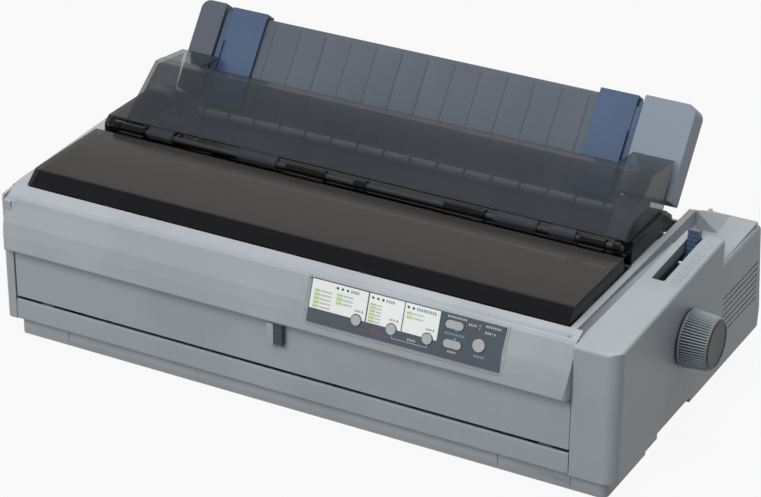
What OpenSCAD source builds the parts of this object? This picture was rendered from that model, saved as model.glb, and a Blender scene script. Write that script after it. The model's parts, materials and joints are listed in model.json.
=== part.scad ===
// Wide-carriage dot matrix printer: an assembly of named pieces, in millimetres.
// Frame: origin at the centre of the bounding box on the resting plane,
// +X to the knob side, +Y to the rear, +Z up.

/* [Case] */
// Width of the case without the knob
case_w = 610; // [606:1:616]
// Depth of the case, front lip to rear wall
case_d = 329; // [327:1:333]
// Wall thickness of the mouldings
wall = 3; // [2.8:0.1:3.2]
// Height of the case's lower edge over the table
skirt_h = 20; // [19.5:0.5:20.5]

/* [Paper path] */
// Radius of the rubber platen
platen_r = 19; // [18.8:0.1:19.1]
// Printing width of the platen in a case of the standard width
platen_len = 449; // [445:1:451]
// Height of the platen's axis
platen_z = 93.4; // [93:0.1:93.8]
// Lean of the paper guide from upright, degrees
guide_lean = 36.7; // [36:0.1:38]

/* [Knob and levers] */
// Length of the knob outside the case
knob_len = 28.9; // [27:0.1:30]
// Largest radius of the knob
knob_r = 26; // [25:0.5:27]
// Number of flutes on the knob
knob_flutes = 60; // [52:4:64]
// Length of the paper release lever
lever_len = 67; // [66:0.5:68]

/* [Covers] */
// Wall of the transparent covers
cover_t = 2.5; // [2.2:0.1:2.8]
// Radius of the cover hinge rod
rod_r = 3; // [2.8:0.1:3.1]
// Height of the flap's front panel along its slope
flap_h = 70; // [68:1:71]

/* [Controls] */
// Radius of the three small round buttons
button_r = 4.6; // [4:0.2:4.8]
// Stroke of the panel buttons
button_stroke = 1.2; // [1:0.1:1.4]
// Length of the two oval buttons
oval_len = 16.5; // [14:0.5:17]

/* [Mechanism] */
// Radius of the carriage shaft
shaft_r = 6; // [5.8:0.1:6.2]
// Radial gap of the running fits
fit = 0.06; // [0.04:0.01:0.08]
// Gear tooth module
gear_m = 1; // [1:1:1]
// Pitch of the timing belt's centre loop radius
pulley_r = 8; // [7.5:0.5:8]
// Count of tractor pins on one belt
tractor_pins = 6; // [5:1:6]

/* [Hidden] */
$fn = 48;
eps = 0.01;
t = wall;
gap = 0.3;                         // between moving mouldings
col_case = [0.66, 0.69, 0.73];
col_dark = [0.17, 0.18, 0.20];
col_smoke = [0.20, 0.20, 0.20, 0.6];
col_blue = [0.34, 0.42, 0.55];
col_metal = [0.70, 0.71, 0.72];

// case, X
x_l = -(case_w + knob_len) / 2;    // outer left wall
x_r = x_l + case_w;                // outer right wall
open_l = x_l + 15;                 // left edge of the cover opening
open_r = x_r - 54.8;               // right edge of the cover opening
rail_o = x_r - 48.5;               // outer edge of the right rail
block_l = x_r - 41.5;              // left face of the right block
// case, Y
y_lip = -case_d / 2;               // front lip of the fascia
y_rear = case_d / 2;               // rear wall at its widest
y_face = y_lip + 9.8;              // front of the block and lower covers
y_skirt = y_lip + 16;              // front of the skirt
y_lid = y_lip + 29;                // front edge of the door
y_step = y_skirt + 214;            // rear end of the right block
y_top = y_rear - 11.7;             // rear wall at the roof
// case, Z
z_seam = 41;                       // tray over lower cover
z_lip = 96;                        // lower edge of the fascia
z_fold = 143;                      // fold of the fascia
z_rail = 146;                      // top of the rails
z_lid = 148;                       // front edge of the door
z_step = 151.8;                    // top of the block at its rear
z_roof = 130;                      // rear edge of the roof
z_side = 126;                      // side edge of the roof
y_rail = y_top - 36;               // rear end of the rails' flat
z_well = 112;                      // rear wall behind the paper guide
floor_z = 8;                       // underside of the lower case floor
foot_h = 1.6;                      // height of the feet
skirt_in = 9.4;                    // draw-in of the front skirt's ends
tub_in = 24;                       // draw-in of the lower case behind it
base_len = 83;                     // length of the wide front part
notch_len = 70;                    // hand notches in the lower edge
notch_h = 5;
// right block and lever slot
corner_r = 12;
block_in = 5.5;                    // draw-in of its left face towards the rear
edge_r = 3;                        // rounding of its upper edges
ramp_w = 24;                       // ramp from the right rail down to the roof
plate_z = 66;                      // top of the connector plate in the rear wall
slot_x = x_r - 24;                 // middle of the lever slot
slot_w = 12;
slot_y0 = y_skirt + 124;
slot_y1 = y_step - 7;
groove_z = 137;
// platen group
platen_y = y_skirt + 136;
case_std = 610;                    // case width that the platen's width is given for
rubber_len = platen_len + case_w - case_std;
side_l = 57.45;                    // from the left wall to the left frame
platen_gap = 6;                    // from the rubber's ends to the frames
frame_l = x_l + side_l;            // left side frame, inner face
frame_r = frame_l + rubber_len + 2 * platen_gap; // right side frame, inner face
frame_t = 2;
axle_r = 4;
gear_x = frame_r + frame_t + 3;
gear_w = 6;
// paper guide
guide_l = x_l + 44.95;
guide_r = x_r - 53.05;
mouth_l = guide_l - 6;             // ends of the rear paper mouth
mouth_r = guide_r + 3.5;
guide_y = y_skirt + 201;           // front plane at the pivot height
guide_z = 146;
guide_h = 121;                     // length along the slope
guide_t = 24;                      // depth of the end caps
panel_t = 3;
cap_l_w = 26;
cap_r_w = 50;
pivot_in = 9;                      // pivot behind the front plane
// rod of the covers
rod_y = y_skirt + 131;
rod_z = 165;
rod_l = x_l + 34.45;
rod_rr = x_r - 61.55;
// door
door_l = open_l + 1;
door_r = open_r - 1;
z_door = 160;                      // top of the door
y_crease = y_lid + 14;
// flap
flap_a = 35.7;                     // slope of the flap's panel
flap_l = guide_l - 1;
flap_r = guide_r - 6;
// fascia slope
fas_a = atan2(16, z_fold - z_lip); // lean of the fascia
fas_len = norm([16, z_fold - z_lip]);
// carriage
car_y = platen_y - 58;
car_z = 62;
car_x0 = frame_l + 222;            // carriage at rest
belt_y = car_y - 34;
pul_l = frame_l - 26;
pul_rx = frame_r + 22;
// tray
tray_l = x_l + 11.6;
tray_r = block_l - 0.6;
tray_hy = y_face + 8;              // hinge axis of the tray
tray_hz = z_seam + 5.5;
tray_top = 93.5;
tg_x = -38;                        // edge guide of the tray
tg_w = 15;
// electrics
psu_x = frame_l + 18;              // left side of the power supply
psu_w = 174;
board_x0 = psu_x + psu_w + 20;     // logic board
board_x1 = frame_r - 59;
inlet_x = psu_x + 36;              // middles of the inlet, the switch and the two ports
inlet_w = 28;
switch_x = inlet_x + 40;
switch_w = 16;
port_x = board_x0 + 65;
port_w = 74;
small_port_x = port_x + 58;
small_port_w = 18;
plate_x0 = inlet_x - 22;           // connector plate in the rear wall
plate_x1 = small_port_x + 17;

// ---------------------------------------------------------------- helpers

// box between two corners
module bx(x0, x1, y0, y1, z0, z1) translate([x0, y0, z0]) cube([x1 - x0, y1 - y0, z1 - z0]);
// prism along X of a (y, z) outline
module px(x0, x1) translate([x0, 0, 0]) rotate([90, 0, 90]) linear_extrude(x1 - x0) children();
// prism along Y of an (x, z) outline
module py(y0, y1) translate([0, y1, 0]) rotate([90, 0, 0]) linear_extrude(y1 - y0) children();
// prism along Z of an (x, y) outline
module pz(z0, z1) translate([0, 0, z0]) linear_extrude(z1 - z0) children();
// round bars along the axes
module rx(x0, x1, r) translate([x0, 0, 0]) rotate([0, 90, 0]) cylinder(r = r, h = x1 - x0);
module ry(y0, y1, r) translate([0, y1, 0]) rotate([90, 0, 0]) cylinder(r = r, h = y1 - y0);
module at(y, z) translate([0, y, z]) children();
// rounded rectangle, centred
module rrect(w, h, r) {
    square([w - 2 * r, h], center = true);
    square([w, h - 2 * r], center = true);
    for (i = [-1, 1], j = [-1, 1]) translate([i * (w / 2 - r), j * (h / 2 - r)]) circle(r);
}
// the fascia's own plane: x along the case, y up the slope, z out of it
module on_fascia() translate([0, y_lip, z_lip]) rotate([90 - fas_a, 0, 0]) children();
// involute gear outline
function inv_pt(rb, a) = rb * [cos(a) + a * PI / 180 * sin(a), sin(a) - a * PI / 180 * cos(a)];
function inv_ang(rb, r) = let (q = sqrt(pow(r / rb, 2) - 1)) q * 180 / PI - atan(q);
function rot2(p, a) = [p[0] * cos(a) - p[1] * sin(a), p[0] * sin(a) + p[1] * cos(a)];
module gear2d(n, m, play = 0.12) {
    rp = n * m / 2; rb = rp * cos(20); ra = rp + 0.9 * m; rf = rp - 1.2 * m;
    half = 90 / n - play / rp * 90 / PI + inv_ang(rb, rp);
    r0 = max(rb, rf);
    steps = 4;
    flank = [for (i = [0:steps]) let (r = r0 + (ra - r0) * i / steps, a = half - inv_ang(rb, r)) r * [cos(a), sin(a)]];
    root = half - inv_ang(rb, r0);
    tooth = concat([rf * [cos(root), -sin(root)]], [for (p = flank) [p[0], -p[1]]],
        [for (i = [steps:-1:0]) flank[i]], [rf * [cos(root), sin(root)]]);
    polygon([for (k = [0:n - 1]) for (p = tooth) rot2(p, k * 360 / n)]);
}

// ---------------------------------------------------------------- lower case

// places of the posts under the power supply and the logic board
psu_posts = [for (x = [psu_x + 8, psu_x + psu_w - 8], y = [platen_y - 34, y_rear - 58]) [x, y]];
board_posts = [for (x = [board_x0 + 6, board_x1 - 6], y = [platen_y - 34, y_rear - 24]) [x, y]];
screw_r = 1.9;

// inner face of the rear wall at height z
function wall_in(z) = y_rear - t - (z < 38 ? 2 * (38 - z) / (38 - skirt_h)
    : (z - 38) * (y_rear - y_top) / (z_roof - 38));

module notch(x0, x1) bx(x0, x1, y_skirt + base_len, y_skirt + base_len + notch_len, skirt_h - 1, skirt_h + notch_h);

// plan of the lower case, d inwards: wide behind its front skirt, narrow behind the hand notches
module base_plan(d) {
    r = 8;
    translate([x_l + skirt_in + r, y_skirt]) square([case_w - 2 * (skirt_in + r), r + 1]);
    for (x = [x_l + skirt_in + r, x_r - skirt_in - r]) translate([x, y_skirt + r]) circle(r - d);
    translate([x_l + skirt_in + d, y_skirt + r]) square([case_w - 2 * (skirt_in + d), base_len - r - d]);
    translate([x_l + tub_in + d, y_skirt + r]) square([case_w - 2 * (tub_in + d), case_d]);
}

module lower_case() color(col_case) {
    difference() {
        union() {
            // skirt, drawn in towards the table
            difference() {
                intersection() {
                    px(x_l, x_r) polygon([[y_skirt + 1, foot_h], [y_skirt, 8], [y_skirt, skirt_h],
                        [y_rear - 8, skirt_h], [y_rear - 10, foot_h]]);
                    pz(0, skirt_h + 2) base_plan(0);
                }
                intersection() {
                    px(x_l, x_r) polygon([[y_skirt + t + 1, floor_z + t], [y_skirt + t, skirt_h + 1],
                        [y_rear - 8 - t, skirt_h + 1], [y_rear - 10 - t, floor_z + t]]);
                    pz(0, skirt_h + 2) base_plan(t);
                }
                intersection() {
                    bx(x_l, x_r, y_skirt + t + 2, y_rear - 12 - t, 0, floor_z);
                    pz(-1, floor_z + 1) base_plan(t);
                }
            }
            // bosses for the frames and the boards
            for (x = [frame_l + 8, frame_r - 8], y = [platen_y - 80, platen_y + 70])
                translate([x, y, floor_z + t - eps]) cylinder(r = 5, h = 4);
            for (p = concat(psu_posts, board_posts)) translate([p[0], p[1], floor_z + t - eps]) cylinder(r = 4, h = 4);
            // stiffening ribs on the floor
            for (x = [frame_l + 22 : 80 : frame_r - 38]) bx(x, x + 2, y_skirt + 12, y_skirt + 60, floor_z + t - eps, floor_z + t + 5);
            // hinge ears of the tray
            for (x = [tray_l + 20, tray_r - 32]) {
                bx(x, x + 12, tray_hy + 3.6, tray_hy + 7.6, floor_z + t - eps, tray_hz + 3.2);
                bx(x, x + 12, tray_hy, tray_hy + 4, tray_hz - 3.2, tray_hz + 3.2);
                at(tray_hy, tray_hz) rx(x, x + 12, 3.2);
            }
            at(tray_hy, tray_hz) { rx(tray_l + 31, tray_l + 44, 1.5); rx(tray_r - 44, tray_r - 31, 1.5); }
        }
        for (x = [frame_l + 8, frame_r - 8], y = [platen_y - 80, platen_y + 70])
            translate([x, y, floor_z + t + 0.2]) cylinder(r = screw_r, h = 6);
        // upright seams in the skirt
        for (x = [x_l + 63, x_r - 110, block_l - 0.5]) bx(x, x + 1, y_skirt - 1, y_skirt + 1, 0, skirt_h + 1);
        // floor vents under the boards
        for (x = [psu_x + 44 : 14 : psu_x + psu_w - 30]) bx(x, x + 4, y_skirt + 150, y_skirt + 220, 0, floor_z + t + 1);
        // seats of the four feet
        for (x = [x_l + 60, x_r - 60], y = [y_skirt + 30, y_rear - 45])
            translate([x, y, -1]) cylinder(r = 8, h = 0.5);
    }
    // pads that carry the feet
    for (x = [x_l + 60, x_r - 60], y = [y_skirt + 30, y_rear - 45])
        translate([x, y, foot_h]) cylinder(r = 11, h = floor_z - foot_h + eps);
}

module feet() color(col_dark)
    for (x = [x_l + 60, x_r - 60], y = [y_skirt + 30, y_rear - 45])
        translate([x, y, 0]) cylinder(r = 9, h = foot_h);

// ---------------------------------------------------------------- upper case

// outline of a side wall down to its lower edge, pulled in by d
module side_outline(d = 0) polygon([[y_face + d, skirt_h - d * 9], [y_face + d, z_fold - 4 - d],
    [y_face + 3 + d, z_fold - d], [y_skirt + 21, z_fold + 2 - d], [y_step, z_step - d],
    [y_step, z_side - d], [y_top - d, z_side - d], [y_rear - d, 38], [y_rear - 2 - d, skirt_h - d * 9]]);

// plan of the case with its rounded front corners
module plan(x0, x1, r0, r1, d = 0) {
    translate([x0 + r0, y_face + d]) square([x1 - x0 - r0 - r1, 400]);
    translate([x0, y_face + d + max(r0, r1)]) square([x1 - x0, 400]);
    translate([x0 + r0, y_face + d + r0]) circle(r0);
    translate([x1 - r1, y_face + d + r1]) circle(r1);
}

// slope of the block's top along the case
block_a = atan2(z_step - z_fold, y_step - y_face);

// block outline from the side, d inwards, with its rounded front edge
module block_side(d = 0) {
    polygon([[y_face + d, skirt_h - d * 9], [y_face + d, z_fold - edge_r], [y_face + edge_r, z_fold - d],
        [y_step - d, z_step - d], [y_step - d, z_side - d], [y_step + (d > 0 ? 1 : 0), z_side - d],
        [y_step + (d > 0 ? 1 : 0), skirt_h - d * 9]]);
    translate([y_face + edge_r, z_fold - edge_r]) circle(edge_r - d / 2);
}
// block in plan, its left face drawn in towards the rear
module block_plan(d = 0) difference() {
    plan(block_l + d, x_r - d, 1, corner_r - d, d);
    polygon([[block_l - 1, y_face + 20], [block_l + d, y_face + 20], [block_l + block_in + d, y_step + 2],
        [block_l - 1, y_step + 2]]);
}
// outline along the slope that rounds the right upper edge
module block_edge() translate([0, y_face, z_fold]) rotate([90 + block_a, 0, 0]) translate([0, 0, -300])
    linear_extrude(320) {
        translate([block_l - 1, -200]) square([x_r - block_l + 1 - edge_r, 203]);
        translate([block_l - 1, -200]) square([x_r - block_l + 1, 200 - edge_r]);
        translate([x_r - edge_r, -edge_r]) circle(edge_r);
    }

module right_block() difference() {
    intersection() {
        px(block_l, x_r) block_side();
        pz(0, 200) block_plan();
        block_edge();
    }
    intersection() {
        px(block_l, x_r) block_side(t);
        pz(0, 200) block_plan(t);
    }
    // the inner wall is only a lip under the groove
    bx(block_l - 1, block_l + block_in + t + 1, y_face + 32, y_step + 1, skirt_h - 1, groove_z - 6);
    // lever slot
    translate([slot_x, (slot_y0 + slot_y1) / 2, z_fold - 8]) linear_extrude(30) rrect(slot_w, slot_y1 - slot_y0, 1.5);
}

// collar hanging under the lever slot
module slot_collar() difference() {
    bx(slot_x - slot_w / 2 - 1.5, slot_x + slot_w / 2 + 1.5, slot_y0 - 1.5, slot_y1 + 1.5, z_fold - 3, z_fold + 5);
    bx(slot_x - slot_w / 2, slot_x + slot_w / 2, slot_y0, slot_y1, z_fold - 4, z_fold + 9);
}

// roof behind the block with its rounded side edge, d inwards
module roof(d) intersection() {
    px(rail_o + d, x_r - d) polygon([[y_step - 3 * t - 1, skirt_h - d * 9], [y_step - 3 * t - 1, z_side - d],
        [y_top - d, z_roof - d], [y_rear - d, 38], [y_rear - 2 - d, skirt_h - d * 9]]);
    py(y_step - 20, y_rear + 1) {
        translate([rail_o - 1, 0]) square([x_r - d - rail_o + 1, z_side - edge_r]);
        translate([rail_o - 1, 0]) square([x_r - edge_r - rail_o + 1, z_roof + 2]);
        translate([x_r - edge_r, z_side - edge_r + 0.5]) circle(edge_r - d / 2);
    }
}
// ramp that carries the right rail down to the roof, k under its surface
module ramp(k) intersection() {
    py(y_rail, y_top - 1) polygon([[mouth_r, z_side - 3], [mouth_r, z_rail - k], [rail_o, z_rail - k],
        [rail_o + ramp_w - k, z_side + 0.5], [rail_o + ramp_w - k, z_side - 3]]);
    px(mouth_r, rail_o + ramp_w) polygon([[y_rail - 1, z_side - 3], [y_rail - 1, z_rail - k], [y_rail + k, z_rail - k],
        [y_top - k, z_roof - k], [y_top - 1, z_side - 3]]);
}

module roof_shell() {
    difference() {
        roof(0);
        roof(t);
        bx(rail_o - 1, block_l + block_in + t + 1, y_step - 14, y_rear + 1, 0, z_side - 6);
        bx(rail_o - 1, x_r - t, y_step - 14, y_step - t, 0, z_roof);
    }
    difference() {
        ramp(0);
        translate([0, 2, -2]) ramp(1);
    }
}

// side panels carry pairs of upright ribs inside
module wall_ribs(x0, x1) for (y = [y_skirt + 40 : 34 : y_rear - 33])
    bx(x0, x1, y, y + 1.6, skirt_h + 8, skirt_h + 60);

module fascia() {
    difference() {
        intersection() {
            px(x_l + 5, block_l) polygon([[y_lip + 1.5, z_lip - 2.2], [y_lip, z_lip], [y_lip + 2.4, z_lip + 12],
                [y_lip + 5.6, z_lip + 24], [y_lip + 14.6, z_fold - 2], [y_lip + 17, z_fold + 0.4], [y_lid, z_lid],
                [y_lid, z_lid - 12], [y_lip + 18, z_lip - 2.2]]);
            pz(0, 200) union() {
                translate([x_l + 15, y_lip - 1]) square([case_w - 25 - 41.5, 60]);
                translate([x_l + 5, y_lip + 8]) square([case_w - 5 - 41.5, 60]);
                translate([x_l + 15, y_lip + 8]) circle(10);
                translate([block_l - 10, y_lip + 8]) circle(10);
            }
        }
        // hollow behind the skin, open to the rear
        px(x_l + 5 + t, block_l - t) polygon([[y_lip + 6, z_lip + t - 2.2], [y_lip + 5.6, z_lip + 12],
            [y_lip + 8.8, z_lip + 24], [y_lip + 17.4, z_fold - 3.5], [y_lip + 18.6, z_fold - 2.5],
            [y_lid - t, z_lid - 3.6], [y_lid - t, z_lid - 30], [y_lip + 30, z_lid - 30], [y_lip + 30, z_lip + t - 2.2]]);
        // pocket and window of the control panel
        panel_pocket();
    }
    // ribs that stiffen the skin
    for (x = [x_l + 19.45 : 40 : block_l - 9]) if (x < pan_x0 - 13 || x > pan_x1 + 8)
        px(x, x + 1.6) polygon([[y_lip + 7, z_lip + t - 2.3], [y_lip + 7, z_lip + 14], [y_lip + 16, z_fold - 8],
            [y_lip + 25, z_lid - 6], [y_lid, z_lid - 10], [y_lip + 18, z_lip + t - 2.3]]);
}

module rails() {
    // right rail, groove floor and lip
    bx(open_r, open_r + 2.5, y_lid, y_rail, z_rail - 24, z_rail);
    bx(open_r, rail_o, y_lid, y_rail, z_rail - 2.5, z_rail);
    bx(rail_o - 2.5, rail_o, y_lid - 10, y_rail, groove_z - 2.5, z_rail);
    pz(groove_z - 2.5, groove_z) polygon([[open_r, y_lid], [block_l + 1, y_lid], [block_l + block_in + 1, y_step - 1],
        [open_r, y_step - 1]]);
    bx(rail_o - 2.5, rail_o, y_step - 20, y_rail + 1, z_side - 4, z_rail);
    // ledges under the arms of the cover frame
    bx(open_r - 12, open_r + eps, rod_y + 10, rod_y + 66, z_rail - 2.5, z_rail);
    bx(open_l - eps, open_l + 12, rod_y + 10, rod_y + 66, z_rail - 2.5, z_rail);
    // left rail and wall lip
    bx(x_l + 1, open_l, y_lid, y_rail, z_rail - 2.5, z_rail);
    bx(open_l - 2.5, open_l, y_lid, y_rail, z_rail - 24, z_rail);
}

module rear_wall() difference() {
    union() {
        px(x_l + t, x_r - t) polygon([[y_rear - 2, skirt_h], [y_rear, 38], [y_top, z_roof], [y_top - t, z_roof],
            [y_rear - t, 38], [y_rear - 2 - t, skirt_h]]);
        // decks beside the paper guide
        px(x_l + 1, mouth_l) polygon([[y_rail - 1, z_rail - 2.5], [y_rail - 1, z_rail], [y_top, z_roof],
            [y_top, z_roof - t]]);
        px(mouth_r, rail_o) polygon([[y_rail - 1, z_rail - 2.5], [y_rail - 1, z_rail], [y_top, z_roof],
            [y_top, z_roof - t]]);
        bx(mouth_l - t, mouth_l, y_step + 30, y_top, z_well - 30, z_roof + 2);
        bx(mouth_r, mouth_r + t, y_step + 30, y_top, z_well - 30, z_roof + 2);
    }
    // rear paper mouth
    bx(mouth_l, mouth_r, y_top - 20, y_rear + 1, z_well, z_roof + 9);
    // connector, inlet, switch openings
    bx(port_x - port_w / 2, port_x + port_w / 2, y_rear - 12, y_rear + 1, 36, 52);
    bx(small_port_x - small_port_w / 2, small_port_x + small_port_w / 2, y_rear - 12, y_rear + 1, 36, 50);
    bx(inlet_x - inlet_w / 2 - 0.2, inlet_x + inlet_w / 2 + 0.2, y_rear - 12, y_rear + 1, 35.8, 58.2);
    bx(switch_x - switch_w / 2 - 0.2, switch_x + switch_w / 2 + 0.2, y_rear - 12, y_rear + 1, 35.8, 60.2);
    // rear air slots
    for (z = [66 : 7 : 94]) bx(x_r - 170.55, x_r - 70.55, y_rear - 20, y_rear + 1, z, z + 3);
}

module housing() difference() {
    union() {
        right_block();
        slot_collar();
        roof_shell();
        px(x_l, x_l + t) polygon([[y_step - 1, z_side - 6], [y_step - 1, z_rail], [y_rail - 1, z_rail],
            [y_top, z_roof], [y_top, z_side - 6]]);
        fascia();
        rails();
        rear_wall();
        // left wall with its front return
        intersection() {
            union() {
                px(x_l, x_l + t) side_outline();
                bx(x_l, x_l + 11, y_face, y_face + t, skirt_h, z_fold - 4);
                bx(x_l + 8, x_l + 11, y_face, y_face + 30, skirt_h, z_lip + 4);
                px(x_l, x_l + 15) polygon([[y_face + 0.5, z_fold - 12], [y_face + 3, z_fold - 4], [y_skirt + 21, z_fold + 2],
                    [y_lid + 12, z_rail], [y_lid + 12, z_rail - 3], [y_face + 12, z_fold - 12]]);
                px(x_l, x_l + 15) polygon([[y_lid + 11, z_rail - 2.5], [y_lid + 11, z_rail], [y_step, z_step],
                    [y_step + 2, z_rail], [y_step + 2, z_rail - 2.5]]);
            }
            pz(0, 200) plan(x_l, x_r, 5, 5);
        }
        wall_ribs(x_r - t - 1.5, x_r - t + eps);
        wall_ribs(x_l + t - eps, x_l + t + 1.5);
        // ledges that sit on the lower case
        for (s = [[y_skirt + 12, y_skirt + base_len - 1, skirt_in + t], [y_skirt + base_len + notch_len + 6, y_rear - 14, tub_in + t]]) {
            bx(x_l + t - eps, x_l + s[2], s[0], s[1], skirt_h, skirt_h + 2);
            bx(x_r - s[2], x_r - t + eps, s[0], s[1], skirt_h, skirt_h + 2);
        }
        bx(x_l + 30, x_r - 30, y_rear - 14, y_rear - 4, skirt_h, skirt_h + 2);
    }
    // hand notches in the lower edge
    notch(x_l - 1, x_l + 8);
    notch(x_r - 8, x_r + 1);
    // side air slots, seven on each side
    for (k = [0 : 6], x = [x_l - 1, x_r - t - 1])
        bx(x, x + t + 2, y_rear - 93, y_rear - 12, 89.4 - 6 * k, 91 - 6 * k);
    // bearings of the paper guide's pins
    at(guide_y + pivot_in * cos(guide_lean), guide_z - pivot_in * sin(guide_lean)) {
        rx(open_l - 3, open_l + 1, 3 + fit);
        rx(open_r - 1, open_r + 3, 3 + fit);
    }
    // opening for the knob's shaft
    at(platen_y, platen_z) rx(x_r - t - 1, x_r + 1, 9);
}

// to the right of the fascia's end
module right_side() bx(block_l, x_r + 1, y_lip - 1, y_rear + 1, 0, z_rail + 20);
// part of the rear wall that the connector plate closes, c narrower
module plate_zone(c) px(plate_x0 + c, plate_x1 - c) polygon([[y_rear - 2 - t, skirt_h - 0.5], [y_rear - 2 - t, skirt_h],
    [y_rear - t, 38], [wall_in(plate_z - c), plate_z - c], [y_rear + 2, plate_z - c], [y_rear + 2, skirt_h - 0.5]]);

module upper_case() color(col_case) difference() {
    housing();
    right_side();
    plate_zone(0);
}

module right_housing() color(col_case) intersection() {
    housing();
    right_side();
}

module connector_plate() color(col_case) intersection() {
    rear_wall();
    plate_zone(0.15);
}

// ---------------------------------------------------------------- front pieces

module front_cover() color(col_case) {
    // outward face from the bend up to the seam, with its top shelf
    px(x_l + 11.4, block_l - 0.4) polygon([[y_face + 0.6, skirt_h + 0.3], [y_face, skirt_h + 2], [y_face, z_seam - 1.6],
        [y_face + 1, z_seam - 0.6], [y_face + t, z_seam - 0.6], [y_face + t, skirt_h + 0.3]]);
    px(x_l + 11.4, block_l - 0.4) polygon([[y_face + 1, skirt_h], [y_face + 1, skirt_h + 2.5], [y_skirt + 4, skirt_h + 2.5],
        [y_skirt + 4, skirt_h]]);
}

// hinge knuckles stand on the lower case; the tray turns on two stub pins
module front_tray() color(col_case) difference() {
    union() {
        px(tray_l, tray_r) polygon([[y_face + 1.2, z_seam + 2], [y_face + 1.2, tray_top - 5], [y_face + 5, tray_top],
            [y_face + 8, tray_top], [y_face + 8, tray_top - 2], [y_face + 4.2, tray_top - 6], [y_face + 4.2, z_seam + 2]]);
        // paper ribs on the inside
        for (x = [tray_l + 45 : 42 : tray_r - 40]) bx(x, x + 2, y_face + 4, y_face + 6.4, z_seam + 8, tray_top - 14);
        // rail of the sliding edge guide
        bx(tray_l + 40, tray_r - 40, y_face + 4, y_face + 6.4, tray_top - 12.5, tray_top - 10.5);
        // hinge barrels
        for (x = [tray_l + 34, tray_r - 46]) {
            at(tray_hy, tray_hz) rx(x, x + 12, 3.6);
            bx(x, x + 12, y_face + 4, tray_hy, tray_hz - 2.4, tray_hz + 3.6);
        }
    }
    for (x = [tray_l + 34, tray_r - 46]) at(tray_hy, tray_hz) rx(x - 1, x + 13, 1.5 + fit);
    // slot in which the edge guide's front grip shows
    bx(tg_x - 32, tg_x + tg_w + 52, y_face, y_face + 12, tray_top - 3.2, tray_top + 1);
}

// sliding edge guide hooked over the tray's top edge
module tray_edge_guide() color(col_dark) {
    difference() {
        px(tg_x, tg_x + tg_w) polygon([[y_face - 5, z_lip - 26], [y_face - 6, z_lip - 24], [y_face - 6, tray_top - 1],
            [y_face + 9.9, tray_top - 1], [y_face + 9.9, tray_top - 16], [y_face + 7.3, tray_top - 16],
            [y_face + 7.3, tray_top - 2.8], [y_face + 0.8, tray_top - 2.8], [y_face + 0.8, z_lip - 26]]);
        for (k = [0 : 6]) bx(tg_x - 1, tg_x + tg_w + 1, y_face - 7, y_face - 5.4, z_lip - 23 + 2.8 * k, z_lip - 22 + 2.8 * k);
    }
    // fence inside the tray
    bx(tg_x + tg_w - 3, tg_x + tg_w, y_face + 9.8, y_face + 17, tray_top - 16, tray_top - 4);
}

// ---------------------------------------------------------------- control panel

pan_x0 = 3.5;
pan_x1 = 187;
pan_y0 = 9;
pan_y1 = 47.5;
// x, up-slope place and radius of the round buttons
round_pos = [[50.6, 20.8], [84.3, 20.9], [118.4, 21.1]];
oval_pos = [[141.3, 38.5], [141.8, 22.1]];
big_pos = [165.7, 27];
big_r = 5.6;
oval_w = 7;
label_x = [[4.4, 58.6], [59.8, 93.1], [94, 127]];
label_y = 21.5;
label_h = 25.4;

// the panel's plane, sunk a little into the bulging skin
module on_panel() on_fascia() translate([0, 0, -0.8]) children();
module panel_pocket() on_panel() {
    translate([pan_x0, pan_y0, -0.6]) cube([pan_x1 - pan_x0, pan_y1 - pan_y0, 12]);
    translate([pan_x0 + 2.5, pan_y0 + 2, -30]) cube([pan_x1 - pan_x0 - 5, pan_y1 - pan_y0 - 4, 32]);
}

module stadium(l, w) { square([l - w, w], center = true); for (i = [-1, 1]) translate([i * (l - w) / 2, 0]) circle(w / 2); }

module control_panel() color([0.32, 0.35, 0.39]) on_panel() {
    difference() {
        translate([(pan_x0 + pan_x1) / 2, (pan_y0 + pan_y1) / 2, -0.6]) linear_extrude(4)
            rrect(pan_x1 - pan_x0, pan_y1 - pan_y0, 0.8);
        for (p = round_pos) translate([p[0], p[1], -1]) cylinder(r = button_r + gap, h = 5);
        for (p = oval_pos) translate([p[0], p[1], -1]) linear_extrude(5) stadium(oval_len + 2 * gap, oval_w + 2 * gap);
        translate([big_pos[0], big_pos[1], -1]) cylinder(r = big_r + gap, h = 5);
        films(1);
        for (p = light_pos) translate([p[0], p[1], 1]) cylinder(r = 1.1, h = 3);
    }
    // posts that carry the switch board
    for (x = [12, 95, 177], y = [14.5, 43]) translate([x, y, -6.4]) cylinder(r = 1.8, h = 5.8 + eps);
}

light_pos = [[131, 41], [152, 40], [158, 40], [131, 33], [152, 31], [176, 38]];

// films between their dark gaps, cut round the keys
module films(h) difference() {
    for (l = label_x) translate([l[0], label_y, 3.2]) cube([l[1] - l[0], label_h, h]);
    for (p = round_pos) translate([p[0], p[1], 2]) cylinder(r = button_r + 0.8, h = 4);
}
module panel_labels() color([0.93, 0.94, 0.92]) on_panel() films(0.5);

module panel_lights() color([0.55, 0.78, 0.30]) on_panel()
    for (p = light_pos) translate([p[0], p[1], 1]) cylinder(r = 1.1, h = 2.8);

module panel_board() color([0.16, 0.36, 0.22]) on_panel() difference() {
    union() {
        translate([9, 12.2, -8]) cube([171, 32, 1.6]);
        for (p = concat(round_pos, oval_pos, [big_pos])) translate([p[0], p[1], -6.5]) cylinder(r = 2, h = 0.9);
        translate([60, 36, -11]) cube([24, 8, 3 + eps]);
    }
}

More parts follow.
